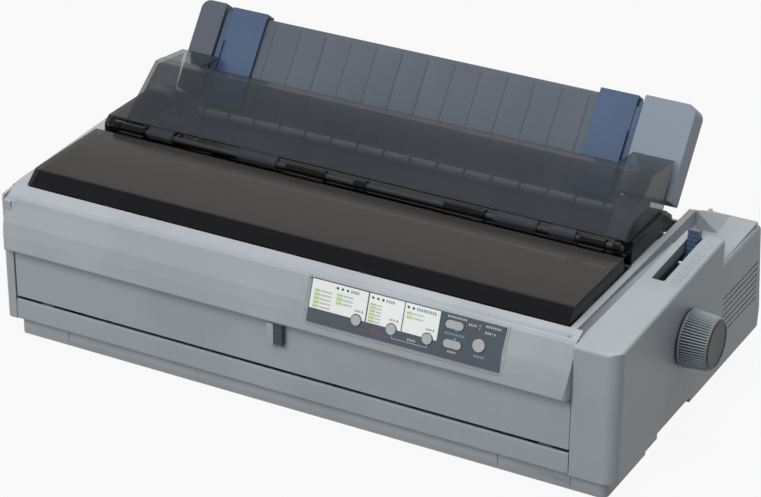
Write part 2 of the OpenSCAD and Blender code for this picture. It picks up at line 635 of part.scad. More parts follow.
// key cap with a flange under the panel and a stem over its switch
module key(p) on_panel() translate([p[0], p[1], 0]) {
    translate([0, 0, -0.9 - eps]) children();
    translate([0, 0, button_stroke - 5.2]) cylinder(r = 1.5, h = 4.8 - button_stroke);
}
module round_key(p, r) key(p) { cylinder(r = r, h = 5.6); translate([0, 0, -1.5]) cylinder(r = r + 0.9, h = 1.5); }
module oval_key(p) key(p) {
    linear_extrude(5.4) stadium(oval_len, oval_w);
    translate([0, 0, -1.5]) linear_extrude(1.5) stadium(oval_len + 1.6, oval_w + 1.6);
}
module button_1() color([0.72, 0.74, 0.76]) round_key(round_pos[0], button_r);
module button_2() color([0.72, 0.74, 0.76]) round_key(round_pos[1], button_r);
module button_3() color([0.72, 0.74, 0.76]) round_key(round_pos[2], button_r);
module oval_button_1() color([0.72, 0.74, 0.76]) oval_key(oval_pos[0]);
module oval_button_2() color([0.72, 0.74, 0.76]) oval_key(oval_pos[1]);
module round_button() color([0.72, 0.74, 0.76]) round_key(big_pos, big_r);

// ---------------------------------------------------------------- covers

knuckle_r = rod_r + 2;
frame_knuckles = [[rod_l, rod_l + 7], [-30, -18], [rod_rr - 7, rod_rr]];
door_knuckles = [[rod_l + 8, rod_l + 34], [-100, -60], [60, 100], [rod_rr - 38, rod_rr - 14]];
flap_knuckles = [[rod_l + 38, rod_l + 64], [-150, -110], [110, 150], [rod_rr - 66, rod_rr - 42]];

module knuckles(list) for (k = list) at(rod_y, rod_z) rx(k[0], k[1], knuckle_r);
module rod_bore(list, r) for (k = list) at(rod_y, rod_z) rx(k[0] - 1, k[1] + 1, r);

module cover_frame() color(col_smoke) difference() {
    union() {
        // arms on both rails
        for (s = [[door_l, door_l + 20], [door_r - 18, door_r]]) difference() {
            px(s[0], s[1]) polygon([[rod_y + 9, z_rail], [rod_y + 9, z_door], [rod_y + 16, z_door + 5.5],
                [rod_y + 84, z_door + 5.5], [rod_y + 97, z_door - 4], [rod_y + 97, z_rail]]);
            px(s[0] + cover_t, s[1] - cover_t) polygon([[rod_y + 11.5, z_rail - 1], [rod_y + 11.5, z_door - 1.5],
                [rod_y + 17, z_door + 3], [rod_y + 83, z_door + 3], [rod_y + 94.5, z_door - 5.5], [rod_y + 94.5, z_rail - 1]]);
        }
        // cross bar behind the rod
        bx(door_l + 1, door_r - 1, rod_y + 7, rod_y + 19, z_door - 8, z_door - 5);
        bx(door_l + 1, door_r - 1, rod_y + 7, rod_y + 9.5, z_door - 8, z_door - 1);
        for (k = frame_knuckles) bx(k[0], k[1], rod_y, rod_y + 9, z_door - 7, rod_z - 2);
        knuckles(frame_knuckles);
    }
    rod_bore(frame_knuckles, rod_r);
}

module hinge_rod() color(col_dark) at(rod_y, rod_z) rx(rod_l - 1.5, rod_rr + 1.5, rod_r);

module front_door() color(col_smoke) difference() {
    union() {
        difference() {
            px(door_l, door_r) polygon([[y_lid + 1, z_lid + 0.4], [y_crease, z_door - 1], [y_crease + 3, z_door],
                [rod_y - 6, z_door], [rod_y - 6, z_rail + 1], [y_lid + 14, z_rail + 1], [y_lid + 2.5, z_lid + 0.4]]);
            px(door_l + cover_t, door_r - cover_t) polygon([[y_lid + 3.5, z_rail], [y_lid + 3.5, z_lid + 0.6],
                [y_crease + 2, z_door - 1 - cover_t], [y_crease + 4, z_door - cover_t], [rod_y, z_door - cover_t],
                [rod_y, z_rail]]);
        }
        for (k = door_knuckles) bx(k[0], k[1], rod_y - 7, rod_y, z_door - cover_t, rod_z - 2);
        knuckles(door_knuckles);
        // finger lip under the front edge
        bx(-60, 0, y_lid + 8, y_lid + 10, z_lid + 1, z_lid + 6);
    }
    rod_bore(door_knuckles, rod_r + fit);
    // clearance for the frame's bar ends
    for (k = frame_knuckles) at(rod_y, rod_z) rx(k[0] - 0.5, k[1] + 0.5, knuckle_r + 0.4);
}

// place on the flap's slope: u up its panel, v out of it
function fp(u, v) = [rod_y + u * cos(flap_a) - v * sin(flap_a), rod_z + u * sin(flap_a) + v * cos(flap_a)];
flap_u = flap_h + 2;
flap_v = 2.2;                      // inner face of the panel over the rod's axis
flap_top = fp(flap_u, flap_v + cover_t);
lug_len = 48.4;                    // lugs beside the paper guide

// panel with its top return of length d falling by f
module flap_bar(x0, x1, d, f) px(x0, x1) polygon([fp(5.6, flap_v), fp(5.6, flap_v + cover_t), flap_top,
    flap_top + [d, -f], flap_top + [d, -f - cover_t], fp(flap_u - 1.2, flap_v)]);

module flap() color([0.45, 0.45, 0.46, 0.4]) difference() {
    union() {
        flap_bar(flap_l, flap_r, 12, 1);
        for (s = [[flap_l, flap_l + 42], [flap_r - 40, flap_r]]) flap_bar(s[0], s[1], lug_len, 6);
        for (k = flap_knuckles) px(k[0], k[1]) polygon([fp(0.5, flap_v - 0.4), fp(0.5, flap_v + cover_t - 0.6),
            fp(6.5, flap_v + cover_t), fp(6.5, flap_v)]);
        knuckles(flap_knuckles);
        // cheeks
        for (x = [flap_l, flap_r - cover_t]) px(x, x + cover_t) polygon([fp(5.6, flap_v), flap_top - [0.5, 1],
            flap_top + [lug_len - 1, -7], flap_top + [lug_len - 20, -flap_top[1] + z_door + 6.3],
            [rod_y + 9, z_door + 6.3]]);
    }
    rod_bore(flap_knuckles, rod_r + fit);
}

// ---------------------------------------------------------------- paper guide

module on_guide() translate([0, guide_y, guide_z]) rotate([90 - guide_lean, 0, 0]) children();
mid_l = guide_l + cap_l_w;
mid_r = guide_r - 3 - cap_r_w;
neck_l = guide_l + 12;
neck_r = door_r - 20;
cap_y0 = 32;

// hollow end cap with one large rounded corner, s = side of that corner
module end_cap(x0, x1, s) difference() {
    translate([0, 0, -guide_t]) linear_extrude(guide_t) cap_plan(x0, x1, s, 0);
    translate([0, 0, -guide_t - 1]) linear_extrude(guide_t + 1 - panel_t) cap_plan(x0, x1, s, 2.5);
}
module cap_plan(x0, x1, s, d) {
    r = 9;
    translate([x0 + d, cap_y0 + d]) square([x1 - x0 - 2 * d, guide_h - cap_y0 - r - d]);
    translate([x0 + d + (s < 0 ? r - d : 0), cap_y0 + d]) square([x1 - x0 - r - d, guide_h - cap_y0 - 2 * d]);
    translate([s < 0 ? x0 + r : x1 - r, guide_h - r]) circle(r - d);
}

module paper_guide() color([0.44, 0.47, 0.50]) {
    on_guide() {
        end_cap(guide_l, mid_l, -1);
        end_cap(mid_r, guide_r - 3, 1);
        // middle panel with its upright ribs
        translate([mid_l - 1, 0, -6 - panel_t]) cube([mid_r - mid_l + 2, guide_h - 6, panel_t]);
        for (k = [1 : 15]) translate([mid_l + k * (mid_r - mid_l) / 16, 24, -6 - eps]) cube([1.2, guide_h - 34, 0.8]);
        // rolled top rail
        translate([0, guide_h - 8.5, -10]) rx(mid_l - 1, mid_r + 1, 3.5);
        // neck between the cover arms
        translate([neck_l, -8, -6 - panel_t]) cube([neck_r - neck_l, cap_y0 + 6, panel_t]);
        // rounded ledge with its ribs
        translate([0, 15, -6.5]) rx(mid_l, mid_r, 4.5);
        for (k = [0 : 15]) translate([mid_l + 8 + k * (mid_r - mid_l - 18) / 15, 9, -8]) cube([1.6, 12, 6.4]);
        // back ribs
        for (x = [neck_l + 20 : 60 : neck_r - 20]) translate([x, 22, -16]) cube([2, guide_h - 38.5, 16 - 6 - panel_t + eps]);
        // pivot hubs and pins
        for (x = [neck_l, neck_r - 8]) translate([0, 0, -pivot_in]) rx(x, x + 8, 6);
        translate([0, 0, -pivot_in]) rx(open_l - 2, neck_l + 1, 3);
        translate([0, 0, -pivot_in]) rx(neck_r - 1, open_r + 2, 3);
    }
}

// blue edge guide over the panel, hooked on the top rail; w is the side of its wing
module edge_guide(x0, x1, w) on_guide() {
    translate([x0, 24, -4.9]) cube([x1 - x0, guide_h - 25.6, 3.2]);
    translate([x0, guide_h - 4.6, -16.2]) cube([x1 - x0, 3, 14.4]);
    translate([x0, guide_h - 15, -16.2]) cube([x1 - x0, 13, 2.2]);
    // wing and fence
    if (w < 0) translate([x0 - 6, 52, -4.9]) cube([6 + eps, guide_h - 64, 1.8]);
    else translate([x1 - eps, 52, -4.9]) cube([5.4, guide_h - 64, 1.8]);
    translate([w < 0 ? x0 : x1 - 2, 26, -1.8]) cube([2, 60, 3.4]);
}
module edge_guide_left() color(col_blue) edge_guide(guide_l + 33, guide_l + 71, -1);
module edge_guide_right() color(col_blue) edge_guide(guide_r - 96.5, guide_r - 59, 1);

// ---------------------------------------------------------------- frames and carriage

idler_d = (52 + 40) / 2 * gear_m + 0.12;
pinion_d = (40 + 14) / 2 * gear_m + 0.12;
a1 = -50;
a2 = -100;
idler_y = platen_y + idler_d * cos(a1);
idler_z = platen_z + idler_d * sin(a1);
motor_y = idler_y + pinion_d * cos(a2);
motor_z = idler_z + pinion_d * sin(a2);
lever_y = y_skirt + 188;
lever_z = 95;
base_z = floor_z + t + 4 - eps;    // top of the bosses
// paper bail: pivot and bar
bail_py = platen_y - 46;
bail_pz = 103;
bail_by = platen_y - 7;
bail_bz = platen_z + platen_r + 6.6;

module frame_outline() polygon([[car_y - 60, base_z], [car_y - 60, 78], [car_y - 20, 84], [platen_y - 30, 112],
    [platen_y - 10, 124], [platen_y + 24, 124], [platen_y + 60, 116], [platen_y + 108, 112], [platen_y + 108, base_z]]);

module side_frame(x0, out) difference() {
    union() {
        px(x0, x0 + frame_t) frame_outline();
        // foot flange over the bosses, turned inwards
        bx(out < 0 ? x0 : x0 - 16, out < 0 ? x0 + frame_t + 16 : x0 + frame_t, platen_y - 90, platen_y + 80, base_z, base_z + 2);
    }
    at(platen_y, platen_z) rx(x0 - 1, x0 + 3, axle_r + fit);
    // window for the belt
    bx(x0 - 1, x0 + 3, belt_y - 7, belt_y + 7, 40, 64);
    // lightening holes
    for (y = [platen_y + 62, platen_y + 88]) at(y, 60) rx(x0 - 1, x0 + 3, 10);
}

module side_frame_left() color(col_metal) {
    difference() {
        side_frame(frame_l - frame_t, -1);
        for (y = [platen_y - 80, platen_y + 70]) translate([frame_l + 8, y, 0]) cylinder(r = 2, h = 30);
        at(car_y, car_z) rx(frame_l - 3, frame_l + 1, shaft_r);
    }
    // stud of the bail
    at(bail_py, bail_pz) rx(frame_l - eps, frame_l + 3.4, 2.5);
    // mount of the carriage motor
    difference() {
        bx(frame_l - 44, frame_l - frame_t + eps, belt_y - 8, belt_y - 6, 32, 74);
        translate([pul_l, 0, 52]) ry(belt_y - 9, belt_y - 5, 6);
        bx(frame_l - 60, frame_l - 38, belt_y - 9, belt_y - 5, 70, 80);
    }
}

module side_frame_right() color(col_metal) {
    difference() {
        side_frame(frame_r, 1);
        for (y = [platen_y - 80, platen_y + 70]) translate([frame_r - 8, y, 0]) cylinder(r = 2, h = 30);
        at(motor_y, motor_z) rx(frame_r - 1, frame_r + 3, 11);
        at(car_y, car_z) rx(frame_r - 1, frame_r + 3, shaft_r);
    }
    // stud of the bail
    at(bail_py, bail_pz) rx(frame_r - 3.4, frame_r + eps, 2.5);
    // mount and stud of the idler pulley
    bx(frame_r + frame_t - eps, frame_r + 38, belt_y - 8, belt_y - 6, 36, 70);
    translate([pul_rx, 0, 52]) ry(belt_y - 6 - eps, belt_y + 6, 3);
    translate([pul_rx, 0, 52]) ry(belt_y + 4.6, belt_y + 6, 4.5);
    // stud of the idler gear
    at(idler_y, idler_z) { rx(frame_r + 1, gear_x + gear_w + 2.4, 3); rx(gear_x + gear_w + 1, gear_x + gear_w + 2.4, 4.5);
        rx(frame_r + 1, gear_x - 0.5, 4.5); }
    // stud of the paper release lever
    at(lever_y, lever_z) { rx(frame_r + 1, slot_x + 9, 3); rx(frame_r + 1, slot_x - 6.8, 4.5); rx(slot_x + 6.8, slot_x + 9, 4.5); }
}

module carriage_shaft() color(col_metal) {
    at(car_y, car_z) rx(frame_l - frame_t, frame_r + frame_t, shaft_r);
    at(car_y, car_z) rx(frame_l - 18, frame_l - frame_t + eps, 4);
}

rail_y = car_y - 54;
module guide_rail() color(col_metal) {
    bx(frame_l, frame_r, rail_y, rail_y + 9, 61, 62.4);
    bx(frame_l, frame_r, rail_y, rail_y + 1.4, 50, 62.4);
}

module carriage() color(col_dark) difference() {
    union() {
        bx(car_x0 - 30, car_x0 + 30, car_y - 11, car_y + 11, 51, 74);
        bx(car_x0 - 22, car_x0 + 22, car_y - 52, car_y - 10, 62.6, 66);
        // cheeks that hold the print head
        for (x = [car_x0 - 30, car_x0 + 26]) bx(x, x + 4, car_y - 11, car_y + 20, 70, 92);
        // belt clip
        bx(car_x0 - 9, car_x0 + 9, belt_y - 5, belt_y + 5, 56, 63);
    }
    at(car_y, car_z) rx(car_x0 - 31, car_x0 + 31, shaft_r + fit);
    bx(car_x0 - 10, car_x0 + 10, belt_y - 3.4, belt_y + 6, 58.8, 61.8);
    // trough under the print head
    translate([car_x0, 0, platen_z - 2]) ry(car_y - 12, car_y + 25, 21.3);
    // flex cable channel
    bx(car_x0 - 31, car_x0 + 31, car_y - 5, car_y + 5, 71, 75);
}

module print_head() color([0.35, 0.36, 0.38]) {
    // drum with its cooling fins, turned to the platen
    translate([car_x0, 0, platen_z - 2]) {
        ry(car_y - 10, car_y + 12, 17);
        for (k = [0 : 4]) ry(car_y - 9 + 4.6 * k, car_y - 7.2 + 4.6 * k, 21);
        ry(car_y + 11, car_y + 20, 13);
        translate([-8, car_y + 18, -3]) cube([16, platen_y - platen_r - 1.2 - car_y - 18, 10]);
    }
    // base block between the carriage's cheeks
    bx(car_x0 - 25.8, car_x0 + 25.8, car_y - 8, car_y + 18, 74, 80);
}

module ribbon_cartridge() color([0.10, 0.10, 0.11]) difference() {
    union() {
        bx(car_x0 - 46, car_x0 + 46, car_y - 32, car_y - 11.4, 80, 98);
        for (s = [-1, 1]) bx(car_x0 + s * 38.5 - 7.5, car_x0 + s * 38.5 + 7.5, car_y - 12, car_y + 24, 84, 98);
        // ribbon across the nose
        bx(car_x0 - 42, car_x0 + 42, platen_y - platen_r - 1, platen_y - platen_r - 0.6, 86, 99);
        for (s = [-1, 1]) bx(car_x0 + s * 39 - 5, car_x0 + s * 39 + 5, car_y + 23, platen_y - platen_r - 0.6, 86, 97);
        // winding knob and rests on the carriage
        translate([car_x0 + 34, car_y - 22, 98 - eps]) cylinder(r = 6, h = 5);
        for (s = [-1, 1]) bx(car_x0 + s * 28 - 2, car_x0 + s * 28 + 2, car_y - 16, car_y - 11.4, 66, 81);
    }
    // windows in the lid of the cartridge
    for (s = [-1, 1]) bx(car_x0 + s * 15 - 9, car_x0 + s * 15 + 9, car_y - 28, car_y - 16, 97, 99);
}

// closed loop with flat teeth on the inside
module belt_loop(r) { square([pul_rx - pul_l, 2 * r], center = true);
    for (s = [-1, 1]) translate([s * (pul_rx - pul_l) / 2, 0]) circle(r); }
module timing_belt() color(col_dark) translate([(pul_l + pul_rx) / 2, 0, 52]) py(belt_y - 3, belt_y + 3)
    difference() { belt_loop(pulley_r + 1.4); belt_loop(pulley_r + 0.3); }

module pulley(x, teeth = 20) translate([x, 0, 52]) py(belt_y - 3.4, belt_y + 3.4) difference() {
    circle(pulley_r);
    for (k = [0 : teeth - 1]) rotate(k * 360 / teeth) translate([pulley_r, 0]) square([1, 1.1], center = true);
    circle(3 + fit);
}
module drive_pulley() color(col_metal) {
    pulley(pul_l);
    translate([pul_l, 0, 52]) ry(belt_y - 14, belt_y + 5, 3 + fit);
}
module idler_pulley() color(col_metal) pulley(pul_rx);

module carriage_motor() color([0.20, 0.20, 0.22]) difference() {
    union() {
        translate([pul_l, 0, 52]) ry(belt_y - 33, belt_y - 8, 17);
        translate([pul_l, 0, 52]) ry(belt_y - 8 - eps, belt_y - 6, 6);
        bx(pul_l - 8, pul_l + 8, belt_y - 31, belt_y - 15, 66, 72);
    }
    translate([pul_l, 0, 52]) ry(belt_y - 15, belt_y, 3 + 2 * fit);
}

// ---------------------------------------------------------------- platen and gears

platen_x0 = frame_l + platen_gap;
platen_x1 = platen_x0 + rubber_len;
roller_step = (rubber_len - 79) / 5; // between the bail's six rollers

module platen() color([0.13, 0.13, 0.13]) difference() {
    at(platen_y, platen_z) rx(platen_x0, platen_x1, platen_r);
    at(platen_y, platen_z) rx(platen_x0 - 1, platen_x1 + 1, platen_r - 4);
}
module platen_shaft() color(col_metal) at(platen_y, platen_z) {
    rx(platen_x0 + 1, platen_x1 - 1, platen_r - 4);
    rx(frame_l - 6, x_r + knob_len - 6, axle_r);
    for (x = [frame_l + 1, frame_r - 3]) rx(x, x + 2, axle_r + 3);
}
module platen_gear() color([0.90, 0.90, 0.86]) at(platen_y, platen_z) difference() {
    union() {
        px(gear_x, gear_x + gear_w) rotate(a1) gear2d(52, gear_m);
        rx(gear_x + gear_w - eps, gear_x + gear_w + 6, 8);
    }
    rx(gear_x - 1, gear_x + 20, axle_r);
    for (k = [0 : 5]) rotate([60 * k, 0, 0]) translate([0, 15, 0]) rx(gear_x - 1, gear_x + gear_w + 1, 4.5);
}
idler_rot = a1 + 180 + 180 / 40;
module idler_gear() color([0.90, 0.90, 0.86]) at(idler_y, idler_z) difference() {
    px(gear_x, gear_x + gear_w) rotate(idler_rot) gear2d(40, gear_m);
    rx(gear_x - 1, gear_x + gear_w + 1, 3 + fit);
    for (k = [0 : 4]) rotate([72 * k, 0, 0]) translate([0, 11, 0]) rx(gear_x - 1, gear_x + gear_w + 1, 3.5);
}
function wrap(a, p) = a - p * floor(a / p);
pinion_rot = a2 + 180 + 180 / 14 - wrap(idler_rot - a2, 9) * 40 / 14;
module motor_pinion() color([0.78, 0.66, 0.36]) at(motor_y, motor_z) {
    px(gear_x, gear_x + gear_w) rotate(pinion_rot) gear2d(14, gear_m);
    rx(frame_r - 10, gear_x + 2, 2.5);
    rx(gear_x + gear_w - eps, gear_x + gear_w + 3, 4);
}
module feed_motor() color([0.22, 0.22, 0.24]) at(motor_y, motor_z) difference() {
    union() {
        translate([frame_r - 38, -20, -14]) cube([38, 40, 34]);
        rx(frame_r - eps, frame_r + frame_t, 11);
    }
    rx(frame_r - 12, frame_r + 6, 2.5 + fit);
}
module knob() color([0.30, 0.31, 0.34]) at(platen_y, platen_z) difference() {
    union() {
        rotate([90, 0, 90]) rotate_extrude($fn = 96) polygon([[0, x_r + 0.8], [knob_r - 2, x_r + 0.8], [knob_r, x_r + 2.6],
            [knob_r - 2.4, x_r + knob_len - 2], [knob_r - 4.4, x_r + knob_len], [0, x_r + knob_len]]);
    }
    rx(x_r, x_r + knob_len - 6, axle_r);
    for (k = [0 : knob_flutes - 1]) rotate([k * 360 / knob_flutes, 0, 0])
        translate([x_r + 2.8, knob_r - 0.4, -0.75]) rotate([0, 0, -5]) cube([knob_len - 6, 2, 1.5]);
}

module paper_pan() color(col_metal) {
    at(platen_y, platen_z) difference() {
        rx(frame_l, frame_r, platen_r + 3.2);
        rx(frame_l - 1, frame_r + 1, platen_r + 2.2);
        rotate([-10, 0, 0]) translate([frame_l - 1, -40, 0]) cube([frame_r - frame_l + 2, 80, 40]);
        rotate([30, 0, 0]) translate([frame_l - 1, -40, 0]) cube([frame_r - frame_l + 2, 80, 40]);
    }
    // chute towards the rear mouth, under the tractors
    px(frame_l, frame_r) polygon([[platen_y + 20.85, platen_z - 3.4], [platen_y + 21.9, platen_z - 4.2],
        [platen_y + 46, 91], [platen_y + 98, 91], [y_top - 4.2, 106], [y_top - 4.2, 107], [platen_y + 98, 92],
        [platen_y + 46, 92]]);
}

// ---------------------------------------------------------------- bail, tractors, levers

module bail_arms() color(col_metal) difference() {
    union() {
        for (x = [frame_l + 0.6, frame_r - 2.6]) px(x, x + 2) {
            polygon([[bail_py, bail_pz - 4], [bail_py - 1.6, bail_pz + 4], [bail_by - 1, bail_bz + 3.6], [bail_by + 1, bail_bz - 3.6]]);
            translate([bail_py, bail_pz]) circle(5);
            translate([bail_by, bail_bz]) circle(4);
        }
        at(bail_by, bail_bz) rx(frame_l + 1, frame_r - 1, 2);
    }
    at(bail_py, bail_pz) rx(frame_l, frame_r, 2.5 + fit);
}
module bail_rollers() color(col_dark) at(bail_by, bail_bz) difference() {
    for (k = [0 : 5]) rx(platen_x0 + 30 + roller_step * k, platen_x0 + 44 + roller_step * k, 6);
    rx(frame_l + 2, frame_r - 2, 2);
}

trac_y = platen_y + 84;
trac_z = 106;
module tractor_shafts() color(col_metal) {
    at(trac_y, trac_z) rx(frame_l, frame_r, 4);
    at(trac_y - 24, trac_z - 2) rx(frame_l, frame_r, 3);
}
module tractor(x) difference() {
    union() {
        px(x, x + 16) polygon([[trac_y - 30, 96], [trac_y - 30, 106], [trac_y - 24, 112], [trac_y, 114], [trac_y + 8, 110],
            [trac_y + 8, 96]]);
        for (k = [0 : tractor_pins - 1]) translate([x + 8, trac_y - 24 + 4.6 * k, 111]) cylinder(r = 1, h = 5);
    }
    at(trac_y, trac_z) rx(x - 1, x + 17, 4 + fit);
    at(trac_y - 24, trac_z - 2) rx(x - 1, x + 17, 3 + fit);
}
module tractor_left() color(col_dark) tractor(frame_l + 30);
module tractor_right() color(col_dark) tractor(frame_r - 49);

lever_back = 14;
module release_lever() color(col_blue) difference() {
    union() {
        at(lever_y, lever_z) {
            rx(slot_x - 6.4, slot_x + 6.4, 8);
            rx(slot_x - 2, slot_x + 2, 22);
            rotate([-lever_back, 0, 0]) difference() {
                translate([slot_x - 5, -5, 0]) cube([10, 9, lever_len]);
                for (k = [0 : 6]) translate([slot_x - 6, -5.4, lever_len - 4 - 4 * k]) cube([12, 1.2, 1.4]);
            }
        }
    }
    at(lever_y, lever_z) rx(slot_x - 8, slot_x + 8, 3 + fit);
}

module gap_lever() color(col_blue) difference() {
    union() {
        at(car_y, car_z) { rx(frame_l - 14, frame_l - 4, 8);
            translate([frame_l - 12, -4, 0]) cube([6, 8, 62]);
            translate([frame_l - 14, -6, 56]) cube([10, 12, 10]); }
    }
    at(car_y, car_z) rx(frame_l - 20, frame_l, 4 + fit);
}

// ---------------------------------------------------------------- electrics

module logic_board() color([0.16, 0.36, 0.22]) difference() {
    union() {
        bx(board_x0, board_x1, platen_y - 40, y_rear - 16, base_z, base_z + 1.6);
        for (x = [50, 94]) bx(board_x0 + x, board_x0 + x + 30, 20, 50, base_z + 1.5, base_z + 5);
        bx(board_x1 - 50, board_x1 - 12, 60, 74, base_z + 1.5, base_z + 7);
        for (k = [0 : 3]) translate([board_x0 + 16, 10 + 26 * k, base_z + 1.5]) cylinder(r = 7, h = 20);
        bx(board_x1 - 70, board_x1 - 10, platen_y - 27.5, platen_y - 21.5, base_z + 1.5, base_z + 12);
    }
    for (p = board_posts) translate([p[0], p[1], base_z - 1]) cylinder(r = 1.8, h = 4);
}
module power_supply() color(col_metal) difference() {
    union() {
        bx(psu_x, psu_x + psu_w, platen_y - 40, y_rear - 50, base_z, base_z + 34);
        bx(inlet_x - 12, inlet_x + 12, y_rear - 50 - eps, y_rear - 26, base_z + 21, base_z + 31);
    }
    bx(psu_x + 1.2, psu_x + psu_w - 1.2, platen_y - 38.8, y_rear - 51.2, base_z + 1.2, base_z + 32.8);
    for (x = [psu_x + 14 : 9 : psu_x + psu_w - 20]) bx(x, x + 4, platen_y - 30, y_rear - 60, base_z + 33, base_z + 35);
}
module power_inlet() color(col_dark) {
    for (x = [inlet_x - 6, inlet_x, inlet_x + 6]) bx(x - 1, x + 1, y_rear - 21, y_rear - 8, 45, 49);
    difference() {
    union() {
        bx(inlet_x - inlet_w / 2, inlet_x + inlet_w / 2, y_rear - 26, y_rear - 2.6, 36, 58);
        bx(switch_x - switch_w / 2, switch_x + switch_w / 2, y_rear - 24, y_rear - 2.6, 36, 60);
        // flanges against the inside of the sloping rear wall
        for (s = [[inlet_x, inlet_w + 10], [switch_x, switch_w + 8]]) px(s[0] - s[1] / 2, s[0] + s[1] / 2) polygon([[y_rear - 24, 31], [wall_in(31) - 0.1, 31],
            [wall_in(38) - 0.1, 38], [wall_in(64) - 0.1, 64], [y_rear - 24, 64]]);
    }
    bx(inlet_x - inlet_w / 2 + 3, inlet_x + inlet_w / 2 - 3, y_rear - 20, y_rear, 39, 55);
    bx(switch_x - switch_w / 2 + 2, switch_x + switch_w / 2 - 2, y_rear - 18, y_rear, 38, 58);
    at(y_rear - 9, 48) rx(switch_x - switch_w / 2, switch_x + switch_w / 2, 1.2 + fit);
    }
}
module power_switch() color(col_dark) at(y_rear - 9, 48) rotate([-5, 0, 0]) {
    px(switch_x - switch_w / 2 + 2.6, switch_x + switch_w / 2 - 2.6) polygon([[-5, -8], [3.6, -8], [5.4, 0], [3.6, 8], [-5, 8]]);
    rx(switch_x - switch_w / 2 + 0.6, switch_x + switch_w / 2 - 0.6, 1.2);
}
module data_connectors() color([0.75, 0.75, 0.72]) difference() {
    union() {
        bx(port_x - port_w / 2 + gap, port_x + port_w / 2 - gap, y_rear - 26, y_rear - 1.8, 37, 51.6);
        bx(port_x - port_w / 2 + 4, port_x + port_w / 2 - 4, y_rear - 26, y_rear - 16, base_z + 1.6, 38);
        bx(small_port_x - small_port_w / 2 + gap, small_port_x + small_port_w / 2 - gap, y_rear - 26, y_rear - 1.8, 36.4, 49.6);
        bx(small_port_x - 7, small_port_x + 7, y_rear - 26, y_rear - 16, base_z + 1.6, 38);
    }
    bx(port_x - port_w / 2 + 3, port_x + port_w / 2 - 3, y_rear - 12, y_rear, 39.5, 49);
    bx(small_port_x - 6, small_port_x + 6, y_rear - 12, y_rear, 38.4, 47.6);
}
module case_screws() color(col_metal)
    for (x = [frame_l + 8, frame_r - 8], y = [platen_y - 80, platen_y + 70]) translate([x, y, base_z - 3.5]) {
        cylinder(r = screw_r, h = 6);
        translate([0, 0, 5.5]) cylinder(r = 4, h = 2.4);
    }

lower_case();
upper_case();
right_housing();
connector_plate();
front_cover();
feet();
control_panel();
panel_labels();
panel_lights();
panel_board();
button_1();
button_2();
button_3();
oval_button_1();
oval_button_2();
round_button();
cover_frame();
hinge_rod();
front_door();
flap();
paper_guide();
edge_guide_left();
edge_guide_right();
front_tray();
tray_edge_guide();
side_frame_left();
side_frame_right();
carriage_shaft();
guide_rail();
carriage();
print_head();
ribbon_cartridge();
timing_belt();
drive_pulley();
idler_pulley();
carriage_motor();
platen();
platen_shaft();
platen_gear();
idler_gear();
motor_pinion();
feed_motor();
knob();
paper_pan();
bail_arms();
bail_rollers();
tractor_left();
tractor_right();
tractor_shafts();
release_lever();
gap_lever();
logic_board();
power_supply();
power_inlet();
data_connectors();
power_switch();
case_screws();
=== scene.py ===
"""Wide-carriage dot matrix printer: finishes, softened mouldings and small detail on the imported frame."""
import json
import logging
import math
from dataclasses import dataclass
from enum import Enum
from typing import Any, Iterable, Mapping, Sequence

import bmesh
import bpy
from mathutils import Matrix, Vector


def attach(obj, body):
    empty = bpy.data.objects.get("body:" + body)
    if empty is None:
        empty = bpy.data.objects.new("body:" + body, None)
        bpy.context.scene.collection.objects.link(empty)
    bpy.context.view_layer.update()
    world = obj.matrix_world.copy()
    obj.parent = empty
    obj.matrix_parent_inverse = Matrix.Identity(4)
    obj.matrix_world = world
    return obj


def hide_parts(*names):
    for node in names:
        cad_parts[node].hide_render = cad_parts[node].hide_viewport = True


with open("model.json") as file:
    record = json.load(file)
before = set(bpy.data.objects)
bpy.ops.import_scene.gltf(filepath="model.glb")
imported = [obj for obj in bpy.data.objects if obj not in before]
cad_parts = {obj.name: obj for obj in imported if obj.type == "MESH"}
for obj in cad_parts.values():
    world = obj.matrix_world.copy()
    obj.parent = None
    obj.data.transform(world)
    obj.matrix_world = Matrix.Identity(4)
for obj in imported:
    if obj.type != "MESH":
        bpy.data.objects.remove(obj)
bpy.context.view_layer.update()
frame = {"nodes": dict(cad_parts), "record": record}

MM = 0.001
LOG = logging.getLogger("printer")
Point = tuple[float, float, float]
Outline = Sequence[tuple[float, float]]
Socket = bpy.types.NodeSocket

# sockets of the Mix node that hold its two colours, and the one that gives the mixed colour
COLOUR_A, COLOUR_B, MIXED = 6, 7, 2

# places that a finish and a piece share, in mm
PLATEN_Y, PLATEN_Z = -12.5, 93.4    # axis of the platen and its knob
BLOCK_RIGHT = 290.55                # right face of the case, where the knob starts
KNOB_RADIUS = 26.0
KNOB_TAPER = 0.106                  # loss of radius for each mm along the knob
FLUTE_DEPTH = 1.35
GUIDE_LEFT, GUIDE_RIGHT = -248.5, 184.5     # ends of the guide's middle part


# ------------------------------------------------------------------ nodes and colours

def add_node(tree: bpy.types.NodeTree, kind: str, inputs: Mapping[Any, Any] | None = None,
             **settings: Any) -> bpy.types.Node:
    """Add one node with its settings, input values and links.

    Args:
        tree: the shader or geometry tree that takes the node.
        kind: Blender's type name of the node.
        inputs: input name or index to a value, or to the socket that feeds it.
        settings: the node's own properties.

    Returns:
        The new node.
    """
    node = tree.nodes.new(kind)
    for name, value in settings.items():
        setattr(node, name, value)
    for key, value in (inputs or {}).items():
        if isinstance(value, Socket):
            tree.links.new(value, node.inputs[key])
        else:
            node.inputs[key].default_value = value
    return node


